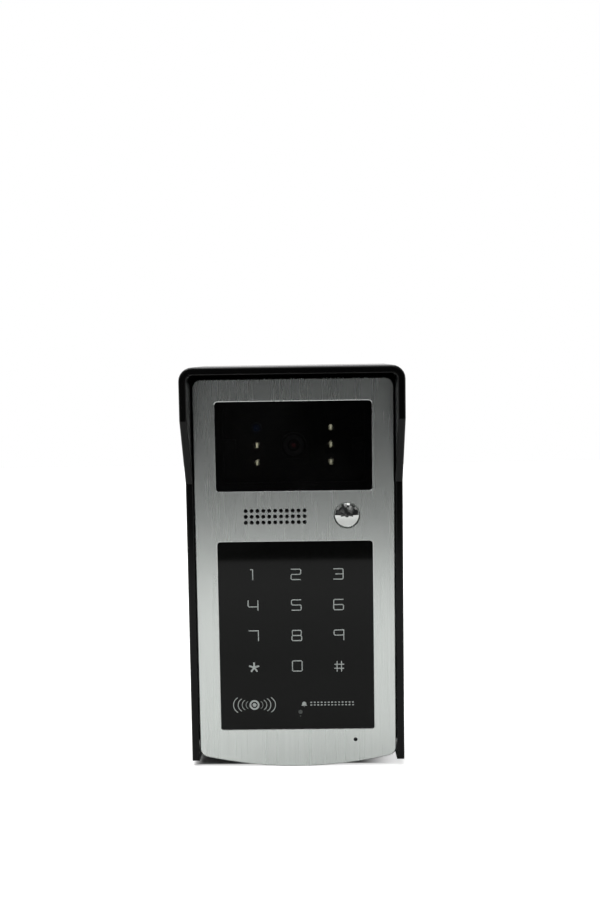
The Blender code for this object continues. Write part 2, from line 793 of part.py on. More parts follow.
def add_speaker_seat(housing):
    """A raised rim that centres the speaker, and the sound opening in front of it."""
    grow = 2 * (SPEAKER_RIM + CLEARANCE)
    centre = (GRILLE_X, GRILLE_HEIGHT)
    outer = slot_outline(SPEAKER_LENGTH + grow, SPEAKER_WIDTH + grow, centre)
    inner = slot_outline(SPEAKER_LENGTH + 2 * CLEARANCE, SPEAKER_WIDTH + 2 * CLEARANCE, centre)
    back = HOUSING_INNER + CLEARANCE * 2 + MESH_THICKNESS + SPEAKER_DEPTH / 2
    grip = HOUSING_FRONT_WALL / 4
    join(housing, flat_solid("speaker_rim", outer, HOUSING_INNER - grip, back))
    cut(housing, flat_solid("speaker_seat_cut", inner, HOUSING_INNER, back + CUT_MARGIN))
    sound = slot_outline(
        SPEAKER_LENGTH - 2 * SPEAKER_RIM, GRILLE_ROWS * GRILLE_PITCH + GRILLE_HOLE, centre
    )
    cut(
        housing,
        flat_solid("speaker_sound_cut", sound, HOUSING_FRONT - CUT_MARGIN, back),
    )


def add_button_well(housing):
    """A guide for the call button: a well for its spring with a bore for the stem."""
    bore = BUTTON_DIAMETER + 2 * (BUTTON_FLANGE + HOLE_CLEARANCE)
    floor = BUTTON_WELL_DEPTH
    back = floor + BUTTON_WELL_FLOOR
    ear_front = HOUSING_INNER - HOUSING_FRONT_WALL / 4
    seat_back = SWITCH_BOARD_FRONT - CLEARANCE
    join(
        housing,
        cylinder(
            "button_well",
            BUTTON_X,
            BUTTON_HEIGHT,
            ear_front,
            back,
            bore + 2 * BUTTON_WELL_WALL,
            ROUND_STEPS,
        ),
    )
    bosses = switch_screw_places()
    join(housing, bars("switch_bosses", bosses, ear_front, seat_back, SWITCH_BOSS_DIAMETER))
    cut(
        housing,
        cylinder(
            "button_well_cut",
            BUTTON_X,
            BUTTON_HEIGHT,
            HOUSING_FRONT - CUT_MARGIN,
            floor,
            bore,
            ROUND_STEPS,
        ),
        cylinder(
            "button_stem_cut",
            BUTTON_X,
            BUTTON_HEIGHT,
            floor - CUT_MARGIN,
            back + CUT_MARGIN,
            STEM_DIAMETER + 2 * HOLE_CLEARANCE,
            SMALL_STEPS,
        ),
    )
    start = seat_back - M2_LENGTH
    end = seat_back + CUT_MARGIN
    shank = M2_SHANK + 2 * HOLE_CLEARANCE
    cut(housing, bars("switch_bores", bosses, start, end, shank, HOLE_STEPS))


def boot_diameter():
    return MIC_DIAMETER + 2 * (HOLE_CLEARANCE + BOOT_WALL)


def boot_back():
    return HOUSING_INNER + CLEARANCE + BOOT_FRONT + CLEARANCE + MIC_LENGTH


def add_microphone_seat(housing):
    """A ring that holds the microphone's boot behind its sound hole."""
    inner = boot_diameter() + 2 * HOLE_CLEARANCE
    outer = inner + 2 * BOOT_RING_WALL
    front = HOUSING_INNER - HOUSING_FRONT_WALL / 4
    back = boot_back()
    join(housing, cylinder("boot_ring", MIC_X, MIC_HEIGHT, front, back, outer, ROUND_STEPS))
    cut(
        housing,
        cylinder(
            "boot_seat_cut",
            MIC_X,
            MIC_HEIGHT,
            HOUSING_INNER,
            back + CUT_MARGIN,
            inner,
            ROUND_STEPS,
        ),
        cylinder(
            "housing_mic_cut",
            MIC_X,
            MIC_HEIGHT,
            HOUSING_FRONT - CUT_MARGIN,
            HOUSING_INNER + CUT_MARGIN,
            MIC_HOLE,
            HOLE_STEPS,
        ),
    )


def rear_cover(look):
    cover = flat_solid(
        "rear_cover",
        panel_outline(HOUSING_INSET),
        HOUSING_SPLIT + CLEARANCE,
        REAR_COVER_BACK,
    )
    bevel_edges(cover, rim_edge(1), REAR_COVER_FILLET, 3)
    front = HOUSING_SPLIT + CLEARANCE
    inside = panel_outline(HOUSING_INSET + HOUSING_WALL, HOUSING_WALL / 2)
    cut(cover, flat_solid("cover_inside", inside, front - CUT_MARGIN, COVER_INSIDE))
    add_screw_columns(cover, front)
    add_cable_bay(cover)
    add_hook_pockets(cover)
    add_lock_block(cover, front)
    cut_seal_groove(cover, front)
    return finish(cover, look)


def seal_middle():
    """Inset of the middle of the seal from the edge of the panel."""
    return HOUSING_INSET + HOUSING_WALL / 2


def seal_ring(name, width, front, back):
    """A band that runs round the joint of the housings."""
    outer = flat_solid(name, panel_outline(seal_middle() - width / 2), front, back)
    hole = panel_outline(seal_middle() + width / 2)
    cut(outer, flat_solid(name + "_hole", hole, front - CUT_MARGIN, back + CUT_MARGIN))
    bake(outer)
    return outer


def cut_seal_groove(cover, front):
    width = SEAL_WIDTH + 2 * CLEARANCE
    cut(cover, seal_ring("seal_groove", width, front - CUT_MARGIN, front + SEAL_GROOVE_DEPTH))


def housing_seal(look):
    back = HOUSING_SPLIT + CLEARANCE + SEAL_HEIGHT
    return finish(seal_ring("housing_seal", SEAL_WIDTH, HOUSING_SPLIT + CLEARANCE, back), look)


def add_cable_bay(cover):
    """A walled recess in the back, with a slot for the terminal block in its floor."""
    wall = 2 * BAY_WALL
    join(
        cover,
        rectangle(
            "cable_bay_wall",
            0.0,
            BAY_CENTRE,
            BAY_WIDTH + wall,
            BAY_HEIGHT + wall,
            BAY_FLOOR - BAY_WALL,
            COVER_INSIDE + REAR_COVER_FLOOR / 2,
            BAY_CORNER + BAY_WALL,
        ),
    )
    cut(
        cover,
        rectangle(
            "cable_bay_cut",
            0.0,
            BAY_CENTRE,
            BAY_WIDTH,
            BAY_HEIGHT,
            BAY_FLOOR,
            REAR_COVER_BACK + CUT_MARGIN,
            BAY_CORNER,
        ),
        rectangle(
            "terminal_slot_cut",
            0.0,
            TERMINAL_CENTRE,
            TERMINAL_WIDTH + 2 * CLEARANCE,
            TERMINAL_HEIGHT + 2 * CLEARANCE,
            BAY_FLOOR - BAY_WALL - CUT_MARGIN,
            BAY_FLOOR + CUT_MARGIN,
            CLEARANCE,
        ),
    )


def hook_depths():
    """Depths of the hood's back plate face and of the two faces of the hook's lip."""
    plate = PANEL_STANDOFF - HOOD_BACK_PLATE
    lip_back = COVER_INSIDE - HOOK_POCKET_GAP
    return plate, lip_back, lip_back - HOOK_LIP_THICKNESS


def add_hook_pockets(cover):
    """Pockets for the hood's hooks: the back wall of each hangs behind the hook's lip."""
    lip_front = hook_depths()[2]
    gap = HOOK_POCKET_GAP
    wall = HOOK_POCKET_WALL
    for index, side in enumerate((-1, 1), 1):
        x = side * HOOK_X
        width = HOOK_WIDTH + 2 * gap
        low = HOOK_HEIGHT - HOOK_LIP - HOOK_STEM - gap
        high = HOOK_HEIGHT + HOOK_LIP + gap
        join(
            cover,
            block(
                f"hook_pocket_{index}",
                x,
                lip_front - gap - wall,
                COVER_INSIDE + REAR_COVER_FLOOR / 2,
                low - wall,
                high + wall,
                width + 2 * wall,
            ),
        )
        cut(
            cover,
            block(f"hook_room_{index}", x, lip_front - gap, COVER_INSIDE, low, high, width),
            block(
                f"hook_mouth_{index}",
                x,
                COVER_INSIDE - gap,
                REAR_COVER_BACK + CUT_MARGIN,
                low + CLEARANCE,
                HOOK_HEIGHT + gap,
                width - 2 * CLEARANCE,
            ),
        )


def add_lock_block(cover, front):
    """A solid foot at the bottom with a notch for the hood's tab and a bore for its screw."""
    half = LOCK_TAB_WIDTH / 2 + HOUSING_WALL
    depth = lock_depth()
    join(
        cover,
        block(
            "lock_block",
            0.0,
            front + CLEARANCE,
            COVER_INSIDE + REAR_COVER_FLOOR / 2,
            HOUSING_INSET + HOUSING_WALL / 2,
            lock_screw_top() + LOCK_BLOCK_MARGIN,
            2 * half,
        ),
    )
    notch = block(
        "lock_notch_cut",
        0.0,
        PANEL_STANDOFF - HOOD_BACK_PLATE - LOCK_TAB_LENGTH - HOOK_POCKET_GAP,
        REAR_COVER_BACK + CUT_MARGIN,
        -CUT_MARGIN,
        LOCK_NOTCH_HEIGHT,
        LOCK_TAB_WIDTH + 2 * HOOK_POCKET_GAP,
    )
    bore = upright_cylinder(
        "lock_bore_cut",
        depth,
        LOCK_NOTCH_HEIGHT - CUT_MARGIN,
        lock_screw_top() + 2 * CLEARANCE,
        M3_SHANK + 2 * HOLE_CLEARANCE,
    )
    cut(cover, notch, bore)


def lock_depth():
    """Depth of the axis of the lock screw."""
    return PANEL_STANDOFF - HOOD_BACK_PLATE - LOCK_SCREW_SETBACK


def lock_tab_bottom():
    return LOCK_NOTCH_HEIGHT - CLEARANCE - LOCK_TAB_THICKNESS


def lock_screw_top():
    return lock_tab_bottom() - CLEARANCE + LOCK_SCREW_LENGTH


def upright_cylinder(name, depth, bottom, top, diameter):
    """A round bar that stands on the middle line."""
    shape = bmesh.new()
    bmesh.ops.create_cone(
        shape,
        cap_ends=True,
        segments=SMALL_STEPS,
        radius1=diameter / 2,
        radius2=diameter / 2,
        depth=top - bottom,
    )
    return from_bmesh(name, shape, place(0, depth, (bottom + top) / 2))


def add_screw_columns(cover, front):
    """Columns for the housing screws, each with a sunk seat for the head."""
    places = housing_screw_places()
    seat = REAR_COVER_BACK - SCREW_SEAT_DEPTH
    root = COVER_INSIDE + REAR_COVER_FLOOR / 3
    shank = M3_SHANK + 2 * HOLE_CLEARANCE
    head = M3_HEAD + 2 * HOLE_CLEARANCE
    join(cover, bars("screw_columns", places, front + CLEARANCE, root, COLUMN_DIAMETER))
    cut(
        cover,
        bars("screw_bores", places, front - CUT_MARGIN, seat + CUT_MARGIN / 2, shank),
        bars("screw_seats", places, seat, REAR_COVER_BACK + CUT_MARGIN, head),
    )


# Rain hood


def hood_block(name, inset, bottom, profile):
    """A block with round upper corners, opened towards the front by the draft."""
    mesh = flat_mesh(name, profile, HOOD_WIDTH - 2 * inset)
    mesh.transform(Matrix(((0, 0, 1, 0), (1, 0, 0, 0), (0, 1, 0, 0), (0, 0, 0, 1))))
    shape = bmesh.new()
    shape.from_mesh(mesh)
    top = max(vert.co.z for vert in shape.verts)
    edges = [edge for edge in shape.edges if top_side_edge(edge, top)]
    bmesh.ops.bevel(
        shape,
        geom=edges,
        offset=HOOD_CORNER - inset,
        segments=HOOD_CORNER_STEPS,
        profile=0.5,
        affect="EDGES",
    )
    half = HOOD_WIDTH / 2 - inset
    height = top - bottom
    for vert in shape.verts:
        spread = -vert.co.y * math.tan(HOOD_DRAFT)
        vert.co.x *= 1 + spread / half
        vert.co.z = bottom + (vert.co.z - bottom) * (1 + spread / height)
    return from_bmesh(name, shape, (0.0, 0.0, -ORIGIN_HEIGHT))


def top_side_edge(edge, top):
    along = abs(edge_direction(edge).y) > 0.99
    return along and all(vert.co.z > top - 1e-6 for vert in edge.verts)


def hood_outer_profile():
    """The side view of the hood as (y, height): a deep visor over a slanted step."""
    visor = -(PANEL_STANDOFF + VISOR_PROJECTION)
    return [
        (0.0, HOOD_BOTTOM),
        (0.0, HOOD_TOP),
        (visor, HOOD_TOP),
        (visor, VISOR_LOW_EDGE),
        (-PANEL_STANDOFF, VISOR_SLANT_END),
        (-PANEL_STANDOFF, HOOD_BOTTOM),
    ]


def hood_inner_profile():
    far = -(PANEL_STANDOFF + VISOR_PROJECTION + 4 * CUT_MARGIN)
    low = HOOD_BOTTOM - 4 * CUT_MARGIN
    high = HOOD_TOP - HOOD_WALL
    return [(-HOOD_BACK_PLATE, low), (-HOOD_BACK_PLATE, high), (far, high), (far, low)]


def hood_rim_edge(edge):
    """An edge between the slanted or upright rim and an outer wall."""
    if len(edge.link_faces) != 2:
        return False
    turns = sorted(face.normal.y for face in edge.link_faces)
    return turns[0] < -0.5 and abs(turns[1]) < 0.2


def hood_inner_rim_edge(edge):
    """An edge between the rim and the inner side of a wall."""
    if not hood_rim_edge(edge):
        return False
    wall = max(edge.link_faces, key=lambda face: face.normal.y).normal
    middle = (edge.verts[0].co + edge.verts[1].co) / 2
    inward_side = wall.x * middle.x < 0 and abs(wall.x) > 0.3
    return inward_side or wall.z < -0.3 and middle.z > VISOR_LOW_EDGE


def rain_hood(look):
    hood = hood_block("rain_hood", 0.0, HOOD_BOTTOM, hood_outer_profile())
    bevel_edges(hood, hood_rim_edge, HOOD_RIM_FILLET, 3)
    bottom = HOOD_BOTTOM - 4 * CUT_MARGIN
    cut(hood, hood_block("hood_inside", HOOD_WALL, bottom, hood_inner_profile()))
    bake(hood)
    bevel_edges(hood, hood_inner_rim_edge, HOOD_RIM_CHAMFER)
    add_hood_hooks(hood)
    add_lock_tab(hood)
    cut_hood_back(hood)
    return finish(hood, look)


def add_hood_hooks(hood):
    """Two hooks on the back plate that the unit hangs on."""
    plate, lip_back, lip_front = hook_depths()
    root = plate + HOOD_BACK_PLATE / 2
    for index, side in enumerate((-1, 1), 1):
        x = side * HOOK_X
        stem = HOOK_HEIGHT - HOOK_STEM
        join(
            hood,
            block(f"hook_stem_{index}", x, lip_front, root, stem, HOOK_HEIGHT, HOOK_WIDTH),
            block(
                f"hook_lip_{index}",
                x,
                lip_front,
                lip_back,
                stem + HOOK_STEM / 2,
                HOOK_HEIGHT + HOOK_LIP,
                HOOK_WIDTH,
            ),
        )


def add_lock_tab(hood):
    """The tab under the unit that takes the lock screw."""
    plate = PANEL_STANDOFF - HOOD_BACK_PLATE
    bottom = lock_tab_bottom()
    join(
        hood,
        block(
            "lock_tab",
            0.0,
            plate - LOCK_TAB_LENGTH,
            plate + HOOD_BACK_PLATE / 2,
            bottom,
            bottom + LOCK_TAB_THICKNESS,
            LOCK_TAB_WIDTH,
        ),
    )
    cut(
        hood,
        upright_cylinder(
            "lock_tab_bore",
            lock_depth(),
            bottom - CUT_MARGIN,
            bottom + LOCK_TAB_THICKNESS + CUT_MARGIN / 2,
            M3_SHANK + 2 * HOLE_CLEARANCE,
        ),
    )


def cut_hood_back(hood):
    """The cable opening, two keyholes and two round holes for the wall screws."""
    front = PANEL_STANDOFF - HOOD_BACK_PLATE - CUT_MARGIN / 4
    back = PANEL_STANDOFF + CUT_MARGIN
    cut(
        hood,
        rectangle(
            "cable_opening_cut",
            0.0,
            CABLE_OPENING_CENTRE,
            CABLE_OPENING_WIDTH,
            CABLE_OPENING_HEIGHT,
            front,
            back,
            CABLE_OPENING_CORNER,
        ),
    )
    for index, side in enumerate((-1, 1), 1):
        x = side * WALL_SCREW_X
        keyhole = cylinder(
            f"keyhole_{index}", x, WALL_SCREW_HIGH, front, back, WALL_SCREW_HEAD
        )
        join(
            keyhole,
            block(
                f"keyhole_slot_{index}",
                x,
                front,
                back,
                WALL_SCREW_HIGH,
                WALL_SCREW_HIGH + KEYHOLE_RISE,
                WALL_SCREW_SLOT,
            ),
        )
        bake(keyhole)
        cut(
            hood,
            keyhole,
            cylinder(f"wall_hole_{index}", x, WALL_SCREW_LOW, front, back, WALL_SCREW_SLOT),
        )


def cable_grommet(look):
    """Soft edging inside the hood's cable opening."""
    width = CABLE_OPENING_WIDTH - 2 * CLEARANCE
    height = CABLE_OPENING_HEIGHT - 2 * CLEARANCE
    corner = CABLE_OPENING_CORNER - CLEARANCE
    front = PANEL_STANDOFF - HOOD_BACK_PLATE
    back = PANEL_STANDOFF - CLEARANCE
    ring = rectangle(
        "cable_grommet", 0.0, CABLE_OPENING_CENTRE, width, height, front, back, corner
    )
    inner = 2 * GROMMET_WALL
    cut(
        ring,
        rectangle(
            "grommet_cut",
            0.0,
            CABLE_OPENING_CENTRE,
            width - inner,
            height - inner,
            front - CUT_MARGIN,
            back + CUT_MARGIN,
            corner - GROMMET_WALL,
        ),
    )
    return finish(ring, look)


# Camera


def camera_parts(looks):
    ir_lamp_board(looks["solder_mask"])
    camera_board(looks["board"])
    lens_holder(looks["black_plastic"])
    lens_barrel(looks["lens_black"])
    lens_glass(looks["lens_glass"])
    places = lamp_places()
    for index, (x, height) in enumerate(places[1:], 1):
        lamp(f"ir_led_{index}", x, height, LED_DIAMETER, looks["clear_lamp"])
    lamp("light_sensor", *places[0], SENSOR_DIAMETER, looks["blue_lamp"])


def lamp_places():
    """The sensor's place and then the five lamps', in two columns beside the lens."""
    return [
        (side * LED_X, CAMERA_WINDOW_CENTRE + row * LED_ROW)
        for side in (-1, 1)
        for row in (1, 0, -1)
    ]


def ir_lamp_board(look):
    width, height = bay_size(CAMERA_BAY_MARGIN - CAMERA_BAY_WALL)
    back = IR_BOARD_FRONT + BOARD_THICKNESS
    board = rectangle(
        "ir_led_board",
        0.0,
        CAMERA_WINDOW_CENTRE,
        width,
        height,
        IR_BOARD_FRONT,
        back,
        WINDOW_CORNER,
    )
    side = LENS_HOLDER_SIDE + 2 * CLEARANCE
    through = (IR_BOARD_FRONT - CUT_MARGIN, back + CUT_MARGIN)
    cut(
        board,
        rectangle(
            "holder_cut", 0.0, CAMERA_WINDOW_CENTRE, side, side, *through, WINDOW_CORNER / 4
        ),
    )
    bore = M2_SHANK + 2 * HOLE_CLEARANCE
    cut(board, bars("ir_board_holes", camera_screw_places(), *through, bore, HOLE_STEPS))
    return finish(board, look)


def camera_board(look):
    back = CAMERA_BOARD_FRONT + BOARD_THICKNESS
    side = CAMERA_BOARD_SIDE
    return finish(
        rectangle(
            "camera_board",
            0.0,
            CAMERA_WINDOW_CENTRE,
            side,
            side,
            CAMERA_BOARD_FRONT,
            back,
            WINDOW_CORNER,
        ),
        look,
    )


def lens_holder(look):
    front = LENS_FRONT + LENS_HEAD + CLEARANCE
    back = CAMERA_BOARD_FRONT - CLEARANCE
    side = LENS_HOLDER_SIDE
    holder = rectangle(
        "lens_holder",
        0.0,
        CAMERA_WINDOW_CENTRE,
        side,
        side,
        front,
        back,
        WINDOW_CORNER / 4,
    )
    cut(
        holder,
        cylinder(
            "lens_thread_cut",
            0.0,
            CAMERA_WINDOW_CENTRE,
            front - CUT_MARGIN,
            back + CUT_MARGIN,
            LENS_THREAD + 2 * CLEARANCE,
            ROUND_STEPS,
        ),
    )
    return finish(holder, look)


def lens_barrel(look):
    """A stepped lens head with a flared mouth, on a threaded neck."""
    head = LENS_DIAMETER / 2
    thread = LENS_THREAD / 2
    mouth = LENS_MOUTH / 2
    seat = LENS_GLASS / 2 + CLEARANCE
    front = LENS_FRONT
    chamfer = (head - mouth) / 2
    neck = front + LENS_HEAD
    floor = front + LENS_HEAD / 2
    profile = [
        (0.0, neck - CLEARANCE),
        (seat, neck - CLEARANCE),
        (seat, floor + LENS_HEAD / 8),
        (seat + chamfer, floor),
        ((seat + mouth) / 2, floor - LENS_HEAD / 6),
        (mouth - chamfer, front + LENS_HEAD / 6),
        (mouth, front),
        (head - chamfer, front),
        (head, front + chamfer),
        (head, neck),
        (thread, neck),
        (thread, neck + LENS_THREAD_LENGTH),
        (0.0, neck + LENS_THREAD_LENGTH),
    ]
    return finish(turned("lens_barrel", 0.0, CAMERA_WINDOW_CENTRE, profile), look)


def dome(radius, rise, front, steps=4):
    """Profile points of a round cap from its top to its rim."""
    points = []
    sphere = (radius**2 + rise**2) / (2 * rise)
    reach = math.asin(min(1.0, radius / sphere))
    for step in range(steps + 1):
        angle = reach * step / steps
        depth = front + sphere * (1 - math.cos(angle))
        points.append((sphere * math.sin(angle), depth))
    return points


def lens_glass(look):
    radius = LENS_GLASS / 2
    front = LENS_FRONT + LENS_HEAD / 3
    back = LENS_FRONT + LENS_HEAD - 2 * CLEARANCE
    profile = dome(radius, LENS_HEAD / 3, front) + [(radius, back), (0.0, back)]
    return finish(turned("lens_glass", 0.0, CAMERA_WINDOW_CENTRE, profile), look)


def lamp(name, x, height, diameter, look):
    """A clear lamp: a domed body on a small flange."""
    back = IR_BOARD_FRONT - LED_BACK_GAP
    radius = diameter / 2
    flange = radius + LED_FLANGE
    profile = dome(radius, radius * 0.98, LED_FRONT)
    profile += [
        (radius, back - 2 * LED_FLANGE),
        (flange, back - 2 * LED_FLANGE),
        (flange, back),
        (0.0, back),
    ]
    return finish(turned(name, x, height, profile, SMALL_STEPS), look)


# Speaker


def speaker_parts(looks):
    centre = (GRILLE_X, GRILLE_HEIGHT)
    mesh_front = HOUSING_INNER + CLEARANCE
    mesh_back = mesh_front + MESH_THICKNESS
    front = mesh_back + CLEARANCE
    back = front + SPEAKER_DEPTH
    floor = back - SPEAKER_RIM
    mesh_outline = slot_outline(SPEAKER_LENGTH, SPEAKER_WIDTH, centre)
    finish(flat_solid("speaker_mesh", mesh_outline, mesh_front, mesh_back), looks["mesh"])
    frame = flat_solid("speaker_frame", mesh_outline, front, back)
    rim = 2 * SPEAKER_RIM
    inner = slot_outline(SPEAKER_LENGTH - rim, SPEAKER_WIDTH - rim, centre)
    magnet_gap = 2 * CLEARANCE
    cut(
        frame,
        flat_solid("speaker_room", inner, front - CUT_MARGIN, floor),
        rectangle(
            "magnet_cut",
            *centre,
            MAGNET_LENGTH + magnet_gap,
            MAGNET_WIDTH + magnet_gap,
            floor - CUT_MARGIN,
            back + CUT_MARGIN,
            MAGNET_WIDTH / 4 + CLEARANCE,
        ),
    )
    finish(frame, looks["black_plastic"])
    speaker_cone(centre, front, floor, looks["cone"])
    magnet_front = floor + CLEARANCE
    magnet = rectangle(
        "speaker_magnet",
        *centre,
        MAGNET_LENGTH,
        MAGNET_WIDTH,
        magnet_front,
        magnet_front + MAGNET_THICKNESS,
        MAGNET_WIDTH / 4,
    )
    bevel_edges(magnet, rim_edge(1), MAGNET_THICKNESS / 6)
    finish(magnet, looks["steel"])


def speaker_cone(centre, front, floor, look):
    """An oval diaphragm with a raised roll round its edge."""
    grow = SPEAKER_RIM + CLEARANCE
    length = SPEAKER_LENGTH - 2 * grow
    width = SPEAKER_WIDTH - 2 * grow
    outline = slot_outline(length, width, centre)
    cone = flat_solid("speaker_cone", outline, front + CLEARANCE, floor - CLEARANCE)
    bevel_edges(cone, rim_edge(-1), SPEAKER_RIM / 2, 2)
    bowl = slot_outline(length * 0.72, width * 0.5, centre)
    dish = flat_solid("cone_dish", bowl, front - CUT_MARGIN, floor - 3 * CLEARANCE)
    cut(cone, dish)
    return finish(cone, look)


# Call button


def call_button(looks):
    """The button and everything behind it. The moving pieces hang on an empty on its axis."""
    axis = bpy.data.objects.new("call_button_axis", None)
    axis.location = place(BUTTON_X, 0.0, BUTTON_HEIGHT)
    bpy.data.collections[PARTS].objects.link(axis)
    moving = [
        button_cap(looks["chrome"]),
        button_clip(looks["steel"]),
        switch_plunger(looks["white_plastic"]),
    ]
    for piece in moving:
        hang_on(axis, piece)
    button_spring(looks["steel"])
    switch_base(looks["black_plastic"])
    switch_board(looks["board"])


def hang_on(axis, piece):
    piece.parent = axis
    piece.location = piece.location - axis.location


def button_cap(look):
    """A domed cap with a flange that stays behind the panel, and a grooved stem."""
    radius = BUTTON_DIAMETER / 2
    flange = radius + BUTTON_FLANGE
    stem = STEM_DIAMETER / 2
    groove = stem - CLIP_GROOVE
    groove_front = CLIP_FRONT - CLEARANCE
    groove_back = CLIP_BACK + CLEARANCE
    edge = BUTTON_GAP / 2
    rim = BUTTON_DOME - BUTTON_PROUD
    profile = dome(radius - edge, BUTTON_DOME, rim - BUTTON_DOME, 6)
    profile += [
        (radius, rim + edge),
        (radius, HOUSING_FRONT),
        (flange, HOUSING_FRONT),
        (flange, BUTTON_REST_BACK),
        (stem, BUTTON_REST_BACK),
        (stem, groove_front),
        (groove, groove_front),
        (groove, groove_back),
        (stem, groove_back),
        (stem, STEM_END - CLIP_GROOVE / 2),
        (stem - CLIP_GROOVE / 2, STEM_END),
        (0.0, STEM_END),
    ]
    return finish(turned("call_button_cap", BUTTON_X, BUTTON_HEIGHT, profile), look)


def button_clip(look):
    """An open ring in the groove of the stem that stops the button from falling out."""
    inner = STEM_DIAMETER / 2 - CLIP_GROOVE + CLEARANCE
    outer = STEM_DIAMETER / 2 + CLIP_WIDTH
    opening = math.radians(50)
    start = math.pi / 2 + opening / 2
    end = start + 2 * math.pi - opening
    centre = (BUTTON_X, BUTTON_HEIGHT)
    outline = arc(centre, outer, start, end, SMALL_STEPS)
    outline += arc(centre, inner, end, start, SMALL_STEPS)
    return finish(flat_solid("button_clip", outline, CLIP_FRONT, CLIP_BACK), look)


def button_spring(look):
    """A compression coil between the button's flange and the floor of the well."""
    wire = SPRING_WIRE / 2
    front = BUTTON_REST_BACK + CLEARANCE + wire
    back = BUTTON_WELL_DEPTH - CLEARANCE - wire
    radius = SPRING_DIAMETER / 2 - wire
    per_turn = 10
    count = int(SPRING_TURNS * per_turn)
    curve = bpy.data.curves.new("button_spring", "CURVE")
    curve.dimensions = "3D"
    curve.bevel_depth = wire
    curve.bevel_resolution = 1
    curve.use_fill_caps = True
    spline = curve.splines.new("POLY")
    spline.points.add(count)
    for step, point in enumerate(spline.points):
        angle = 2 * math.pi * step / per_turn
        depth = front + (back - front) * step / count
        point.co = (radius * math.cos(angle), depth, radius * math.sin(angle), 1.0)
    spring = bpy.data.objects.new("button_spring", curve)
    spring.location = place(BUTTON_X, 0.0, BUTTON_HEIGHT)
    bpy.data.collections[PARTS].objects.link(spring)
    curve.materials.append(look)
    print(f"least gap between the spring's turns: {(back - front) / SPRING_TURNS - 2 * wire:.5f} m")
    return spring


def switch_plunger(look):
    """The switch's own plunger, which follows the button's stem."""
    front = STEM_END + CLEARANCE
    back = SWITCH_FRONT + SWITCH_DEPTH - BUTTON_STROKE - 3 * CLEARANCE
    radius = SWITCH_PLUNGER / 2
    profile = [
        (0.0, front),
        (radius - CLEARANCE, front),
        (radius, front + CLEARANCE),
        (radius, back),
        (0.0, back),
    ]
    plunger = turned("switch_plunger", BUTTON_X, BUTTON_HEIGHT, profile, SMALL_STEPS)
    return finish(plunger, look)


def switch_base(look):
    back = SWITCH_FRONT + SWITCH_DEPTH
    side = SWITCH_SIDE
    base = rectangle(
        "switch_base",
        BUTTON_X,
        BUTTON_HEIGHT,
        side,
        side,
        SWITCH_FRONT,
        back,
        CLEARANCE,
    )
    bore = SWITCH_PLUNGER + 2 * HOLE_CLEARANCE
    front = SWITCH_FRONT - CUT_MARGIN
    floor = back - CLEARANCE * 2
    cut(base, cylinder("plunger_bore", BUTTON_X, BUTTON_HEIGHT, front, floor, bore))
    return finish(base, look)


def switch_board(look):
    back = SWITCH_BOARD_FRONT + BOARD_THICKNESS
    board = rectangle(
        "switch_board",
        BUTTON_X,
        BUTTON_HEIGHT,
        SWITCH_BOARD_LENGTH,
        SWITCH_BOARD_WIDTH,
        SWITCH_BOARD_FRONT,
        back,
        CLEARANCE * 3,
    )
    bore = M2_SHANK + 2 * HOLE_CLEARANCE
    through = (SWITCH_BOARD_FRONT - CUT_MARGIN, back + CUT_MARGIN)
    cut(board, bars("switch_board_holes", switch_screw_places(), *through, bore, HOLE_STEPS))
    return finish(board, look)


# Microphone


def microphone(looks):
    front = HOUSING_INNER + CLEARANCE
    seat = front + BOOT_FRONT
    back = boot_back()
    outer = boot_diameter() / 2
    inner = MIC_DIAMETER / 2 + HOLE_CLEARANCE
    hole = MIC_HOLE / 2 + CLEARANCE
    boot = [(hole, front), (outer, front), (outer, back), (inner, back), (inner, seat), (hole, seat)]
    finish(turned("microphone_boot", MIC_X, MIC_HEIGHT, boot), looks["rubber"])
    radius = MIC_DIAMETER / 2
    edge = radius / 10
    capsule = [
        (0.0, seat + CLEARANCE),
        (radius - edge, seat + CLEARANCE),
        (radius, seat + CLEARANCE + edge),
        (radius, back),
        (0.0, back),
    ]
    finish(turned("microphone_capsule", MIC_X, MIC_HEIGHT, capsule), looks["steel"])


# Keypad


def keypad_parts(looks):
    light_guide(looks["diffuser"])
    keypad_board(looks["board"])
    status_lamp(looks["white_plastic"])
    antenna(looks["copper"])


def light_guide(look):
    front = FLANGE_BACK + CLEARANCE
    back = front + LIGHT_GUIDE_THICKNESS
    shrink = 2 * (KEYPAD_OPENING_MARGIN + CLEARANCE)
    guide = rectangle(
        "keypad_light_guide",
        0.0,
        KEYPAD_WINDOW_CENTRE,
        WINDOW_WIDTH - shrink,
        KEYPAD_WINDOW_HEIGHT - shrink,
        front,
        back,
        WINDOW_CORNER,
    )
    hole = STATUS_DIAMETER + 2 * CLEARANCE
    cut(
        guide,
        cylinder(
            "status_hole_cut",
            STATUS_X,
            STATUS_HEIGHT,
            front - CUT_MARGIN,
            back + CUT_MARGIN,
            hole,
        ),
    )
    return finish(guide, look)


def keypad_board(look):
    board = rectangle(
        "keypad_board",
        0.0,
        KEYPAD_WINDOW_CENTRE,
        WINDOW_WIDTH,
        KEYPAD_WINDOW_HEIGHT - KEYPAD_BOARD_MARGIN,
        FRONT_BOARD,
        FRONT_BOARD + BOARD_THICKNESS,
        WINDOW_CORNER,
    )
    return finish(board, look)


def status_lamp(look):
    radius = STATUS_DIAMETER / 2
    front = FLANGE_BACK + CLEARANCE
    back = FRONT_BOARD - CLEARANCE
    profile = [
        (0.0, front),
        (radius * 0.7, front),
        (radius, front + CLEARANCE),
        (radius, back),
        (0.0, back),
    ]
    return finish(turned("status_led", STATUS_X, STATUS_HEIGHT, profile, SMALL_STEPS), look)


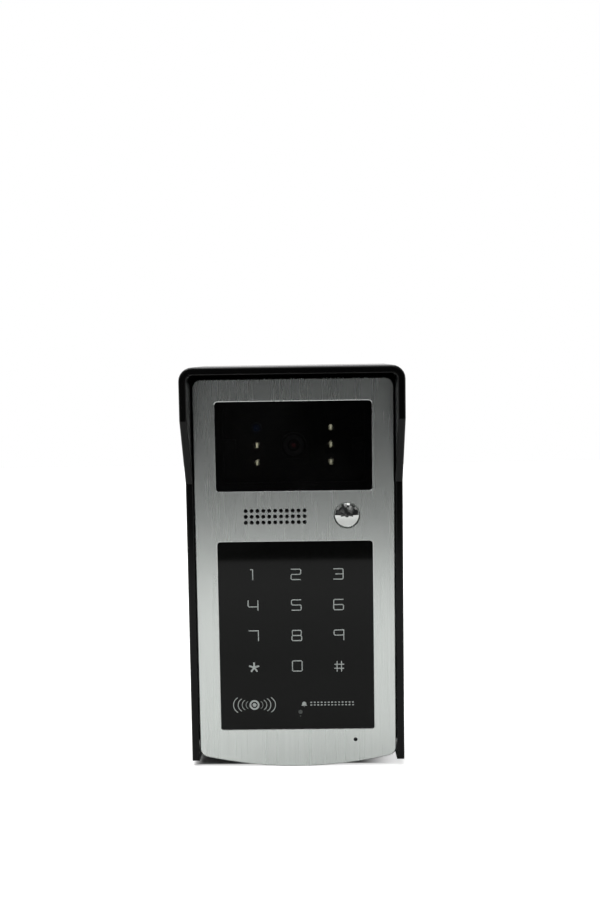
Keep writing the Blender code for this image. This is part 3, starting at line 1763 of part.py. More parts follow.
def antenna(look):
    """The reader's loop on the back of the keypad board."""
    front = FRONT_BOARD + BOARD_THICKNESS + CLEARANCE
    back = front + ANTENNA_THICKNESS
    corner = ANTENNA_TRACK
    ring = rectangle(
        "rfid_antenna",
        0.0,
        ANTENNA_CENTRE,
        ANTENNA_WIDTH,
        ANTENNA_HEIGHT,
        front,
        back,
        corner,
    )
    inner = 2 * ANTENNA_TRACK
    cut(
        ring,
        rectangle(
            "antenna_cut",
            0.0,
            ANTENNA_CENTRE,
            ANTENNA_WIDTH - inner,
            ANTENNA_HEIGHT - inner,
            front - CUT_MARGIN,
            back + CUT_MARGIN,
            corner / 2,
        ),
    )
    return finish(ring, look)


# Main board


def main_board_parts(looks):
    main_board(looks["board"])
    behind = MAIN_BOARD_BACK + CLEARANCE
    processor(behind, looks["black_plastic"])
    for index, side in enumerate((-1, 1), 1):
        height = PARTS_CENTRE + side * CAPACITOR_PITCH / 2
        capacitor(f"capacitor_{index}", height, behind, looks["aluminium"])
    relay = block(
        "lock_relay",
        RELAY_X,
        behind,
        COVER_INSIDE - RELAY_GAP,
        PARTS_CENTRE - RELAY_HEIGHT / 2,
        PARTS_CENTRE + RELAY_HEIGHT / 2,
        RELAY_WIDTH,
        CLEARANCE * 2,
        2,
    )
    finish(relay, looks["relay"])
    terminal_header(behind, looks["terminal"])
    camera_ribbon(looks["ribbon"])


def main_board(look):
    middle = (MAIN_BOARD_BOTTOM + MAIN_BOARD_TOP) / 2
    height = MAIN_BOARD_TOP - MAIN_BOARD_BOTTOM
    board = rectangle(
        "main_board",
        0.0,
        middle,
        MAIN_BOARD_WIDTH,
        height,
        MAIN_BOARD_DEPTH,
        MAIN_BOARD_BACK,
        WINDOW_CORNER / 2,
    )
    through = (MAIN_BOARD_DEPTH - CUT_MARGIN, MAIN_BOARD_BACK + CUT_MARGIN)
    bore = M2_SHANK + 2 * HOLE_CLEARANCE
    cut(board, bars("board_holes", main_board_screw_places(), *through, bore, HOLE_STEPS))
    return finish(board, look)


def processor(front, look):
    chip = rectangle(
        "main_processor",
        PROCESSOR_X,
        PARTS_CENTRE,
        PROCESSOR_SIDE,
        PROCESSOR_SIDE,
        front,
        front + PROCESSOR_THICKNESS,
        CLEARANCE,
    )
    bevel_edges(chip, rim_edge(1), CLEARANCE)
    return finish(chip, look)


def capacitor(name, height, front, look):
    """A can with a crimped waist above its foot."""
    radius = CAPACITOR_DIAMETER / 2
    waist = radius * 0.9
    back = front + CAPACITOR_LENGTH
    profile = [
        (0.0, front),
        (radius, front),
        (radius, front + CAPACITOR_LENGTH * 0.10),
        (waist, front + CAPACITOR_LENGTH * 0.16),
        (radius, front + CAPACITOR_LENGTH * 0.22),
        (radius, back - CLEARANCE),
        (radius - CLEARANCE, back),
        (0.0, back),
    ]
    return finish(turned(name, CAPACITOR_X, height, profile, SMALL_STEPS), look)


def terminal_header(front, look):
    """A screw terminal block whose ways open into the cable bay."""
    bottom = TERMINAL_CENTRE - TERMINAL_HEIGHT / 2
    back = front + TERMINAL_DEPTH
    header = block(
        "terminal_header",
        0.0,
        front,
        back,
        bottom,
        bottom + TERMINAL_HEIGHT,
        TERMINAL_WIDTH,
    )
    pitch = TERMINAL_WIDTH / TERMINAL_WAYS
    for way in range(TERMINAL_WAYS):
        x = (way - (TERMINAL_WAYS - 1) / 2) * pitch
        hole = pitch * 0.62
        cut(
            header,
            block(
                f"terminal_way_{way + 1}",
                x,
                back - TERMINAL_DEPTH / 3,
                back + CUT_MARGIN,
                TERMINAL_CENTRE - hole / 2,
                TERMINAL_CENTRE + hole / 2,
                hole,
            ),
        )
    return finish(header, look)


def camera_ribbon(look):
    """A flat cable from the back of the camera board down to the back of the main board."""
    start = CAMERA_BOARD_FRONT + BOARD_THICKNESS + CLEARANCE
    end = MAIN_BOARD_BACK + CLEARANCE
    high = CAMERA_WINDOW_CENTRE - CAMERA_BOARD_SIDE / 2
    landing = RIBBON_WIDTH / 2
    bow = end + landing
    path = [
        (start, high + landing),
        (start, high),
        (start + landing / 4, high - landing),
        (bow, (high + MAIN_BOARD_TOP) / 2 + landing),
        (bow, (high + MAIN_BOARD_TOP) / 2 - landing),
        (end + landing / 4, MAIN_BOARD_TOP + landing / 4),
        (end, MAIN_BOARD_TOP - landing / 2),
        (end, MAIN_BOARD_TOP - landing),
    ]
    strip = path + [(depth + RIBBON_THICKNESS, height) for depth, height in reversed(path)]
    mesh = flat_mesh("camera_ribbon", strip, RIBBON_WIDTH)
    mesh.transform(Matrix(((0, 0, 1, 0), (1, 0, 0, 0), (0, 1, 0, 0), (0, 0, 0, 1))))
    return finish(new_object("camera_ribbon", mesh, place(RIBBON_X, 0.0, 0.0)), look)


# Screws


def screw(name, x, height, head_front, head, shank, head_height, length, look):
    """A pan-head screw that is driven in from the back, its head seated at a depth."""
    radius = shank / 2
    point = head_front - length
    crown = head_front + head_height
    profile = [
        (0.0, point),
        (radius * 0.6, point),
        (radius, point + radius),
        (radius, head_front),
        (head / 2, head_front),
        (head / 2, crown - head_height / 3),
        (head / 2 * 0.8, crown),
        (0.0, crown),
    ]
    return finish(turned(name, x, height, profile, SMALL_STEPS), look)


def screws(look):
    housing_seat = REAR_COVER_BACK - SCREW_SEAT_DEPTH + CLEARANCE
    rows = (
        ("board_screw", main_board_screw_places(), MAIN_BOARD_BACK + CLEARANCE),
        ("camera_screw", camera_screw_places(), IR_BOARD_FRONT + BOARD_THICKNESS + CLEARANCE),
        ("switch_screw", switch_screw_places(), SWITCH_BOARD_FRONT + BOARD_THICKNESS + CLEARANCE),
    )
    for name, places, seat in rows:
        for index, (x, height) in enumerate(places, 1):
            screw(
                f"{name}_{index}",
                x,
                height,
                seat,
                M2_HEAD,
                M2_SHANK,
                M2_HEAD_HEIGHT,
                M2_LENGTH,
                look,
            )
    for index, (x, height) in enumerate(housing_screw_places(), 1):
        screw(
            f"housing_screw_{index}",
            x,
            height,
            housing_seat,
            M3_HEAD,
            M3_SHANK,
            M3_HEAD_HEIGHT,
            HOUSING_SCREW_LENGTH,
            look,
        )
    lock_screw(look)


def lock_screw(look):
    """The screw that goes up through the hood's tab into the unit."""
    seat = lock_tab_bottom() - CLEARANCE
    made = screw(
        "hood_lock_screw",
        0.0,
        0.0,
        0.0,
        M3_HEAD,
        M3_SHANK,
        M3_HEAD_HEIGHT,
        LOCK_SCREW_LENGTH,
        look,
    )
    made.rotation_euler = (-math.pi / 2, 0.0, 0.0)
    made.location = place(0.0, lock_depth(), seat)
    return made


def looks():
    """Materials in linear colours read from the photograph."""
    return {
        "aluminium": material("brushed_aluminium", (0.53, 0.54, 0.53), 0.35, 1.0),
        "hood": material("hood_plastic", (0.012, 0.012, 0.013), 0.38),
        "black_plastic": material("black_plastic", (0.015, 0.015, 0.015), 0.5),
        "camera_window": material("smoked_acrylic", (0.012, 0.012, 0.014), 0.05, 0.0, 0.45),
        "keypad_window": material("black_acrylic", (0.012, 0.013, 0.012), 0.08),
        "chrome": material("chrome", (0.75, 0.75, 0.76), 0.06, 1.0),
        "steel": material("steel", (0.45, 0.45, 0.45), 0.3, 1.0),
        "lens_black": material("lens_black", (0.01, 0.01, 0.01), 0.35),
        "lens_glass": material("lens_glass", (0.06, 0.008, 0.02), 0.03),
        "clear_lamp": material("clear_lamp", (0.75, 0.74, 0.66), 0.08, 0.0, 0.6),
        "blue_lamp": material("blue_lamp", (0.10, 0.18, 0.45), 0.08),
        "board": material("circuit_board", (0.02, 0.12, 0.05), 0.45),
        "solder_mask": material("black_solder_mask", (0.01, 0.01, 0.01), 0.4),
        "white_plastic": material("white_plastic", (0.7, 0.7, 0.68), 0.4),
        "diffuser": material("diffuser", (0.6, 0.6, 0.58), 0.5),
        "rubber": material("rubber", (0.02, 0.02, 0.02), 0.8),
        "mesh": material("sound_mesh", (0.03, 0.03, 0.03), 0.7),
        "cone": material("speaker_cone", (0.04, 0.04, 0.045), 0.6),
        "copper": material("copper_foil", (0.55, 0.25, 0.12), 0.35, 1.0),
        "relay": material("relay_blue", (0.03, 0.12, 0.35), 0.4),
        "terminal": material("terminal_green", (0.02, 0.25, 0.10), 0.45),
        "ribbon": material("ribbon", (0.55, 0.55, 0.5), 0.5),
    }


def main():
    clear_scene()
    collection(PARTS)
    collection(CUTTERS, hidden=True)
    look = looks()
    rain_hood(look["hood"])
    front_panel(look["aluminium"])
    window("camera_window", CAMERA_WINDOW_CENTRE, CAMERA_WINDOW_HEIGHT, look["camera_window"])
    window("keypad_window", KEYPAD_WINDOW_CENTRE, KEYPAD_WINDOW_HEIGHT, look["keypad_window"])
    front_housing(look["black_plastic"])
    rear_cover(look["black_plastic"])
    housing_seal(look["rubber"])
    cable_grommet(look["rubber"])
    camera_parts(look)
    speaker_parts(look)
    call_button(look)
    microphone(look)
    keypad_parts(look)
    main_board_parts(look)
    screws(look["steel"])


main()
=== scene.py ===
"""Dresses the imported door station: finishes, keypad print, lens, lamps and small hardware."""

import logging
import math
from dataclasses import dataclass, field
from enum import Enum

import bmesh
import bpy
from mathutils import Matrix, Vector


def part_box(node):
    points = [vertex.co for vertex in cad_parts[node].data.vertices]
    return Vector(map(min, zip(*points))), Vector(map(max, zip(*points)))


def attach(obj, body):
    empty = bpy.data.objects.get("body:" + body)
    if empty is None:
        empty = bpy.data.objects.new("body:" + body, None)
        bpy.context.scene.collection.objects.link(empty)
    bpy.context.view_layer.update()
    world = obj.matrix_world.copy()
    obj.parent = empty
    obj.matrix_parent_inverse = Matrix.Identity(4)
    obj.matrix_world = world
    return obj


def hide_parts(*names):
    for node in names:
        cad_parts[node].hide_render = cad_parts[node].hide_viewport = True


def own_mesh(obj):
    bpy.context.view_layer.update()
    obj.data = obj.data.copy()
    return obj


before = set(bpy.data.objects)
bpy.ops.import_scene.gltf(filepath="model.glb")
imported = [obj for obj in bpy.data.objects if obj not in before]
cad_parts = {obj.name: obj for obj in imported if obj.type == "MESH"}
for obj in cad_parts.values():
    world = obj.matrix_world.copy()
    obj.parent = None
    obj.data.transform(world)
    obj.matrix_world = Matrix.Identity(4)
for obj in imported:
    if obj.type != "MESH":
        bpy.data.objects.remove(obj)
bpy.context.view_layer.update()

LOG = logging.getLogger("door_station")
MM = 0.001  # metres, in which sizes stand where no comment gives another unit
STATION = "station"  # the body that every own piece rides on
MERGE_DISTANCE = 1e-6
MITRE_LIMIT = 0.3  # of a stroke's turn, as a cosine, past which its corner is widened no more
SPAN = ("From Min", "From Max", "To Min", "To Max")  # how a Map Range turns values into others

Outline = list[tuple[float, float]]
Corner = tuple[float, float, float]


# Small tools


def linear(code: str) -> tuple[float, float, float, float]:
    """Turns an sRGB hex colour into Blender's linear RGBA.

    Args:
        code: The colour as six hex digits, such as "c8cbc9".

    Returns:
        Red, green, blue and an alpha of 1.
    """
    parts = [int(code[at : at + 2], 16) / 255 for at in (0, 2, 4)]
    red, green, blue = (
        part / 12.92 if part <= 0.04045 else ((part + 0.055) / 1.055) ** 2.4 for part in parts
    )
    return red, green, blue, 1.0


def add_node(
    tree: bpy.types.NodeTree, kind: str, inputs: dict | None = None, **settings: str
) -> bpy.types.Node:
    """Adds a node to a tree, sets it and links it.

    Args:
        tree: The node tree.
        kind: The node's type name, after "ShaderNode".
        inputs: Input names or numbers, each with a value or a socket to link from.
        settings: Attribute names and their values.

    Returns:
        The new node.
    """
    node = tree.nodes.new(f"ShaderNode{kind}")
    for name, value in settings.items():
        setattr(node, name, value)
    for name, value in (inputs or {}).items():
        if isinstance(value, bpy.types.NodeSocket):
            tree.links.new(value, node.inputs[name])
        else:
            node.inputs[name].default_value = value
    return node


def deselect() -> None:
    """Leaves every object deselected."""
    bpy.ops.object.select_all(action="DESELECT")


def take(piece: bpy.types.Object) -> None:
    """Makes a piece the only selected and the active object.

    Args:
        piece: The object.
    """
    deselect()
    piece.select_set(True)
    bpy.context.view_layer.objects.active = piece


def settle(piece: bpy.types.Object, name: str, finish: bpy.types.Material) -> None:
    """Names a finished piece, bakes its place into its mesh, dresses it and lets it ride.

    Args:
        piece: The modelled object.
        name: Its final name.
        finish: Its material.
    """
    take(piece)
    bpy.ops.object.transform_apply(location=True, rotation=True, scale=True)
    piece.name = name
    piece.data.name = name
    piece.data.materials.clear()
    piece.data.materials.append(finish)
    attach(piece, STATION)
    LOG.info("%s: %d faces", name, len(piece.data.polygons))


def close_mesh(piece: bpy.types.Object) -> None:
    """Merges doubled points and turns the faces outwards.

    Args:
        piece: The object.
    """
    take(piece)
    bpy.ops.object.mode_set(mode="EDIT")
    bpy.ops.mesh.select_all(action="SELECT")
    bpy.ops.mesh.remove_doubles(threshold=MERGE_DISTANCE)
    bpy.ops.mesh.dissolve_degenerate(threshold=MERGE_DISTANCE)
    bpy.ops.mesh.normals_make_consistent(inside=False)
    bpy.ops.object.mode_set(mode="OBJECT")


def copy_piece(piece: bpy.types.Object) -> bpy.types.Object:
    """Copies a modelled piece.

    Args:
        piece: The object.

    Returns:
        A new object with its own mesh.
    """
    copied = piece.copy()
    copied.data = piece.data.copy()
    bpy.context.collection.objects.link(copied)
    return copied


def front_middle(node: str) -> Vector:
    """The middle of the front of a CAD node's box."""
    low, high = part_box(node)
    return Vector(((low.x + high.x) / 2, low.y, (low.z + high.z) / 2))


# Finishes


class Axis(Enum):
    """The way a directional pattern runs."""

    ACROSS = 0
    DEEP = 1
    UP = 2


@dataclass(frozen=True)
class Finish:
    """A surface of two close shades mixed by a fine grain, with a slight relief."""

    name: str
    colour: str
    shade: str
    roughness: float
    grain: float = 0.6  # mm
    relief: float = 0.0  # mm
    spread: float = 0.06  # of the roughness
    metallic: float = 0.0
    specular: float = 0.5
    ior: float = 1.5
    painted_glow: float = 0.0  # painted light: what a part that is no lamp gives off
    cover: float = 1.0  # how much of what lies behind it hides

    def grains(
        self, tree: bpy.types.NodeTree, size: tuple[float, ...], detail: float = 3.0
    ) -> bpy.types.NodeSocket:
        """A soft pattern whose grains have a real size.

        Args:
            tree: The material's nodes.
            size: The size of a grain along x, y and z in millimetres.
            detail: How many finer layers it has.

        Returns:
            The pattern's value, from 0 to 1.
        """
        place = add_node(tree, "TexCoord")
        scale = tuple(1 / (edge * MM) for edge in size)
        mapping = add_node(tree, "Mapping", {"Vector": place.outputs["Object"], "Scale": scale})
        noise = add_node(
            tree, "TexNoise", {"Vector": mapping.outputs["Vector"], "Scale": 1.0, "Detail": detail}
        )
        return noise.outputs["Fac"]

    def pattern(self, tree: bpy.types.NodeTree) -> bpy.types.NodeSocket:
        """The value, from 0 to 1, that mixes the shades."""
        return self.grains(tree, (self.grain,) * 3)

    def finish(self, tree: bpy.types.NodeTree, shader: bpy.types.Node) -> None:
        """Room for what only one finish has."""

    def build(self) -> bpy.types.Material:
        """Makes the material.

        Returns:
            The new material.
        """
        made = bpy.data.materials.new(self.name)
        made.use_nodes = True
        tree = made.node_tree
        shader = tree.nodes["Principled BSDF"]
        plain = {
            "Metallic": self.metallic,
            "Specular IOR Level": self.specular,
            "Alpha": self.cover,
            "Emission Strength": self.painted_glow,
        }
        if not self.metallic:
            plain["IOR"] = self.ior
        for socket, amount in plain.items():
            shader.inputs[socket].default_value = amount
        value = self.pattern(tree)
        mix = add_node(
            tree,
            "Mix",
            {0: value, 6: linear(self.colour), 7: linear(self.shade)},
            data_type="RGBA",
        )
        tree.links.new(mix.outputs[2], shader.inputs["Base Color"])
        # painted light: a part that is no lamp shines in its own colours
        if self.painted_glow:
            tree.links.new(mix.outputs[2], shader.inputs["Emission Color"])
        rough = add_node(
            tree,
            "MapRange",
            {
                "Value": value,
                "To Min": self.roughness - self.spread / 2,
                "To Max": self.roughness + self.spread / 2,
            },
        )
        tree.links.new(rough.outputs["Result"], shader.inputs["Roughness"])
        if self.relief:
            bump = add_node(tree, "Bump", {"Height": value, "Distance": self.relief * MM})
            tree.links.new(bump.outputs["Normal"], shader.inputs["Normal"])
        self.finish(tree, shader)
        made.diffuse_color = linear(self.colour)
        return made


@dataclass(frozen=True)
class Brushed(Finish):
    """Metal drawn over an abrasive belt: long fine scratches along one axis."""

    along: Axis = Axis.UP
    scratch: float = 0.5  # mm, drawn far coarser than the real 0.05 so that it shows
    band: float = 5.0  # scratch widths, of the soft bands under the scratches
    length: float = 60.0  # mm
    detail: float = 2.0
    share: float = 0.6  # of the scratches, the bands having the rest
    low: float = 0.4  # where the colour is pure
    high: float = 0.6  # where the shade is pure

    def pattern(self, tree: bpy.types.NodeTree) -> bpy.types.NodeSocket:
        """Long scratches over broad soft bands.

        Args:
            tree: The material's nodes.

        Returns:
            The pattern's value, from 0 to 1.
        """
        total: bpy.types.NodeSocket | float = 0.0
        layers = ((self.scratch, self.share), (self.scratch * self.band, 1 - self.share))
        for width, share in layers:
            size = [width] * 3
            size[self.along.value] = self.length
            grains = self.grains(tree, tuple(size), self.detail)
            terms = {0: grains, 1: share, 2: total}
            total = add_node(tree, "Math", terms, operation="MULTIPLY_ADD").outputs[0]
        even = add_node(tree, "MapRange", {"Value": total, "From Min": self.low, "From Max": self.high})
        return even.outputs["Result"]


@dataclass(frozen=True)
class Pupil(Finish):
    """Glass with a painted gleam: its shade shines in the middle and its colour takes over outwards."""

    axis: tuple[float, float, float] = (0.0, 0.0, 0.0)
    reach: float = 1.6  # mm
    core: float = 0.3  # of the reach, where the shade is pure

    def pattern(self, tree: bpy.types.NodeTree) -> bpy.types.NodeSocket:
        """One in the middle of the glass, nothing beyond the reach.

        Args:
            tree: The material's nodes.

        Returns:
            The pattern's value, from 0 to 1.
        """
        place = add_node(tree, "TexCoord")
        flat = add_node(
            tree, "VectorMath", {0: place.outputs["Object"], 1: self.axis}, operation="SUBTRACT"
        )
        away = add_node(tree, "VectorMath", {0: flat.outputs["Vector"]}, operation="LENGTH")
        reach = self.reach * MM
        fade = add_node(
            tree,
            "MapRange",
            {
                "Value": away.outputs["Value"],
                "From Min": self.core * reach,
                "From Max": reach,
                "To Min": 1.0,
                "To Max": 0.0,
            },
            interpolation_type="SMOOTHSTEP",
        )
        return fade.outputs["Result"]


@dataclass(frozen=True)
class Clear(Finish):
    """A see-through plastic or glass, tinted in the mass."""

    passes: float = 1.0

    def finish(self, tree: bpy.types.NodeTree, shader: bpy.types.Node) -> None:
        """Lets light through."""
        shader.inputs["Transmission Weight"].default_value = self.passes


class Shop:
    """Every finish of the station, built once and handed out by its name."""

    def __init__(self) -> None:
        """Lists the finishes and builds them."""
        finishes = (
            # Anodised aluminium, belt brushed upright: satin grey with long soft streaks.
            Brushed("brushed_aluminium", "e9edea", "e3e7e4", 0.27, metallic=1.0, spread=0.008),
            # The same metal where a diamond cutter sloped its edges: bright and smooth.
            Finish("diamond_cut_aluminium", "e4e6e5", "dadddb", 0.22, 0.4, spread=0.03, metallic=1.0),
            # Black ABS from a finely sparked mould: near black with a satin gloss.
            Finish("moulded_abs_hood", "050505", "080808", 0.19, 0.35, 0.002, 0.06, specular=0.2),
            # Black ABS inside the unit, plainly moulded.
            Finish("moulded_abs_black", "0e0e0f", "151516", 0.48, 0.5, 0.004),
            # Smoked cast acrylic: glossy, lets the lamps and lens show faintly.
            Finish(
                "smoked_acrylic",
                "030303",
                "060606",
                0.03,
                6.0,
                spread=0.01,
                specular=0.25,
                ior=1.49,
                cover=0.6,
            ),
            # Acrylic printed black on its back: deep black under a gloss.
            Finish("black_backed_acrylic", "090a09", "0c0d0c", 0.045, 8.0, spread=0.02, specular=0.19),
            # Chromed ABS: a cool bright mirror.
            Finish("chrome_plate", "d8d9d7", "cdcfcd", 0.05, 3.0, spread=0.02, metallic=1.0),
            # Zinc plated steel, turned or pressed.
            Finish("zinc_plated_steel", "a9aaa8", "8f908d", 0.3, 0.8, spread=0.12, metallic=1.0),
            # Anodised aluminium of a lens barrel, painted greyer than it is as painted light, to show
            # through the window.
            Finish("black_anodised_barrel", "5a5b5c", "6c6d6e", 0.3, 0.4, 0.002),
            # Coated lens glass: black, with a painted wine-red gleam in the pupil that shines though it
            # is no lamp.
            Pupil(
                "coated_glass_painted_gleam",
                "050304",
                "6a3034",
                0.04,
                spread=0.01,
                painted_glow=0.3,
                axis=tuple(front_middle("lens_glass")),
            ),
            # Clear epoxy of a lamp.
            Clear("clear_epoxy", "f4f1e2", "ece8d6", 0.05, spread=0.02),
            # Silvered lead frame inside a lamp, with a painted glint: it shines bright and a little
            # yellow though the lamp is off.
            Finish("silvered_cup_painted_glint", "f4f4e0", "c9c8ac", 0.25, 0.3, metallic=0.6, painted_glow=3.2),
            # Blue epoxy of the light sensor, with a painted light that shows it through the window.
            Finish("blue_epoxy", "162c52", "1f3a66", 0.12, 0.5, painted_glow=0.2),
            # Darker blue gel round the sensor, with the same painted light.
            Finish("blue_gel", "081426", "0c1c34", 0.3, 0.6, painted_glow=0.2),
            # Screen ink: silver grey, flat, laid under the face.
            Finish("silver_ink", "c6ccc9", "b4bab7", 0.5, 0.25, spread=0.1),
            # The same ink thinned, over the status lamp.
            Finish("thin_ink", "5c605e", "3c3f3d", 0.45, 0.3),
            # Green solder mask over glass fibre and copper tracks.
            Finish("green_solder_mask", "0f3d24", "185032", 0.35, 1.8, 0.02),
            # Black solder mask of the lamp board: dull black.
            Finish("black_solder_mask", "0b0b0b", "121212", 0.5, 1.5, 0.01),
            # White polyamide.
            Finish("white_nylon", "dedcd4", "cfccc2", 0.4, 0.6),
            # Opal acrylic that spreads light.
            Finish("opal_acrylic", "d6d6d2", "c9c9c4", 0.45, 3.0),
            # Black EPDM rubber: dull, a little dusty.
            Finish("epdm_rubber", "151515", "1f1f1e", 0.75, 0.4, 0.006),
            # Black woven sound cloth.
            Finish("sound_cloth", "0c0c0c", "1c1c1c", 0.85, 0.12, 0.02),
            # Black felt on the microphone; round the sound holes, the same black as painted shade:
            # gives no light back.
            Finish("black_felt_and_hole_shade", "040404", "0a0a0a", 0.95, 0.2),
            # Black metal of the lens' rim, turned and polished.
            Finish("polished_black_rim", "060606", "0a0a0a", 0.12, 0.4, specular=0.6),
            # Tinned contact pins.
            Finish("tinned_brass", "c4c1b4", "aeaa9c", 0.28, 0.4, metallic=1.0),
            # Pressed grey paper of the speaker's cone.
            Finish("pressed_paper", "2b2b2d", "38383a", 0.8, 0.5, 0.02),
            # Rolled copper foil.
            Finish("copper_foil", "b8714a", "a9633e", 0.3, 0.8, metallic=1.0),
            # Drawn aluminium can.
            Finish("drawn_aluminium_can", "b9bbbd", "a8aaac", 0.28, 0.5, metallic=1.0),
            # Blue polyester of a relay's case.
            Finish("blue_polyester", "1c3f78", "224a8a", 0.38, 0.5, 0.003),
            # Green polyamide of a terminal block.
            Finish("green_nylon", "1d6b3c", "247a46", 0.42, 0.5, 0.003),
            # White polyester film of a flat cable.
            Finish("polyester_film", "c9c8c0", "bdbcb3", 0.4, 0.8),
        )
        self.made = {finish.name: finish.build() for finish in finishes}

    def get(self, name: str) -> bpy.types.Material:
        """The finish of that name."""
        return self.made[name]


@dataclass
class Dresser:
    """Gives every CAD node its finish."""

    shop: Shop
    finishes: dict[str, tuple[str, ...]] = field(
        default_factory=lambda: {
            "brushed_aluminium": ("front_panel",),
            "moulded_abs_hood": ("rain_hood",),
            "moulded_abs_black": (
                "front_housing",
                "rear_cover",
                "lens_holder",
                "speaker_frame",
                "switch_base",
                "main_processor",
            ),
            "smoked_acrylic": ("camera_window",),
            "black_backed_acrylic": ("keypad_window",),
            "chrome_plate": ("call_button_cap",),
            "zinc_plated_steel": (
                "button_clip",
                "button_spring",
                "speaker_magnet",
                "microphone_capsule",
                "hood_lock_screw",
                *(f"board_screw_{number}" for number in range(1, 5)),
                *(f"camera_screw_{number}" for number in range(1, 3)),
                *(f"switch_screw_{number}" for number in range(1, 3)),
                *(f"housing_screw_{number}" for number in range(1, 5)),
            ),
            "black_anodised_barrel": ("lens_barrel",),
            "coated_glass_painted_gleam": ("lens_glass",),
            "clear_epoxy": tuple(f"ir_led_{number}" for number in range(1, 6)),
            "blue_epoxy": ("light_sensor",),
            "green_solder_mask": ("camera_board", "switch_board", "keypad_board", "main_board"),
            "black_solder_mask": ("ir_led_board",),
            "white_nylon": ("switch_plunger", "status_led"),
            "opal_acrylic": ("keypad_light_guide",),
            "epdm_rubber": ("housing_seal", "cable_grommet", "microphone_boot"),
            "sound_cloth": ("speaker_mesh",),
            "pressed_paper": ("speaker_cone",),
            "copper_foil": ("rfid_antenna",),
            "drawn_aluminium_can": ("capacitor_1", "capacitor_2"),
            "blue_polyester": ("lock_relay",),
            "green_nylon": ("terminal_header",),
            "polyester_film": ("camera_ribbon",),
        }
    )

    def dress(self) -> None:
        """Puts each finish in the slots of its nodes."""
        for finish, nodes in self.finishes.items():
            for name in nodes:
                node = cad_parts[name]
                for slot in node.material_slots:
                    slot.material = self.shop.get(finish)
                LOG.info("%s: %s", name, finish)


# Panel openings


@dataclass
class BrightEdges:
    """The cut slopes that lead from the panel's face into its two window openings."""

    shop: Shop
    flange: float = 0.002  # of a window, behind the panel
    corner: float = 0.002
    steps: int = 6
    width: float = 0.0003
    depth: float = 0.00016
    thickness: float = 0.00006

    def build(self) -> None:
        """Makes the slope of each opening."""
        for window in ("camera", "keypad"):
            self.slope(f"{window}_edge", f"{window}_window")

    def slope(self, name: str, window: str) -> None:
        """A rounded frame whose inner border lies deeper than its outer one.

        Args:
            name: The piece's name.
            window: The node of the window in the opening.
        """
        low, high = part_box(window)
        centre = (low + high) / 2
        deselect()
        bpy.ops.mesh.primitive_plane_add(
            size=1.0,
            location=(centre.x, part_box("front_panel")[0].y, centre.z),
            rotation=(math.pi / 2, 0.0, 0.0),
        )
        edge = bpy.context.object
        edge.scale = (high.x - low.x - 2 * self.flange, high.z - low.z - 2 * self.flange, 1.0)
        bpy.ops.object.transform_apply(location=True, rotation=True, scale=True)
        bpy.ops.object.mode_set(mode="EDIT")
        bpy.ops.mesh.select_all(action="SELECT")
        bpy.ops.mesh.bevel(offset=self.corner, segments=self.steps, affect="VERTICES")
        bpy.ops.mesh.select_mode(type="FACE")
        bpy.ops.mesh.select_all(action="SELECT")
        bpy.ops.mesh.inset(thickness=self.width, depth=0.0)
        bpy.ops.transform.translate(value=(0.0, self.depth, 0.0))
        bpy.ops.mesh.delete(type="FACE")
        bpy.ops.object.mode_set(mode="OBJECT")
        wall = edge.modifiers.new("wall", "SOLIDIFY")
        wall.thickness = self.thickness
        wall.offset = -1.0
        bpy.ops.object.modifier_apply(modifier="wall")
        close_mesh(edge)
        settle(edge, name, self.shop.get("diamond_cut_aluminium"))


# Keypad print


def stroke(points: Outline, width: float) -> Outline:
    """The outline of a stroke along an open line, with mitred corners.

    Args:
        points: The middle line.
        width: The stroke's width.

    Returns:
        A closed outline.
    """
    left: Outline = []
    right: Outline = []
    for at, (x, y) in enumerate(points):
        ways = []
        for first, second in ((at - 1, at), (at, at + 1)):
            if first >= 0 and second < len(points):
                ahead = Vector(points[second]) - Vector(points[first])
                ways.append(ahead.normalized())
        mean = sum(ways, Vector((0.0, 0.0))).normalized()
        across = Vector((-mean.y, mean.x))
        reach = width / 2 / max(MITRE_LIMIT, mean.dot(ways[0]))
        left.append((x + across.x * reach, y + across.y * reach))
        right.append((x - across.x * reach, y - across.y * reach))
    return left + right[::-1]


def cut_box(low_x: float, low_y: float, high_x: float, high_y: float, cut: float) -> Outline:
    """A rectangle whose corners are cut off.

    Args:
        low_x: Its left side.
        low_y: Its bottom.
        high_x: Its right side.
        high_y: Its top.
        cut: How much of each side its corners lose.

    Returns:
        A closed outline.
    """
    return [
        (low_x + cut, low_y),
        (high_x - cut, low_y),
        (high_x, low_y + cut),
        (high_x, high_y - cut),
        (high_x - cut, high_y),
        (low_x + cut, high_y),
        (low_x, high_y - cut),
        (low_x, low_y + cut),
    ]


def block(low_x: float, low_y: float, high_x: float, high_y: float) -> Outline:
    """A plain rectangle."""
    return [(low_x, low_y), (high_x, low_y), (high_x, high_y), (low_x, high_y)]


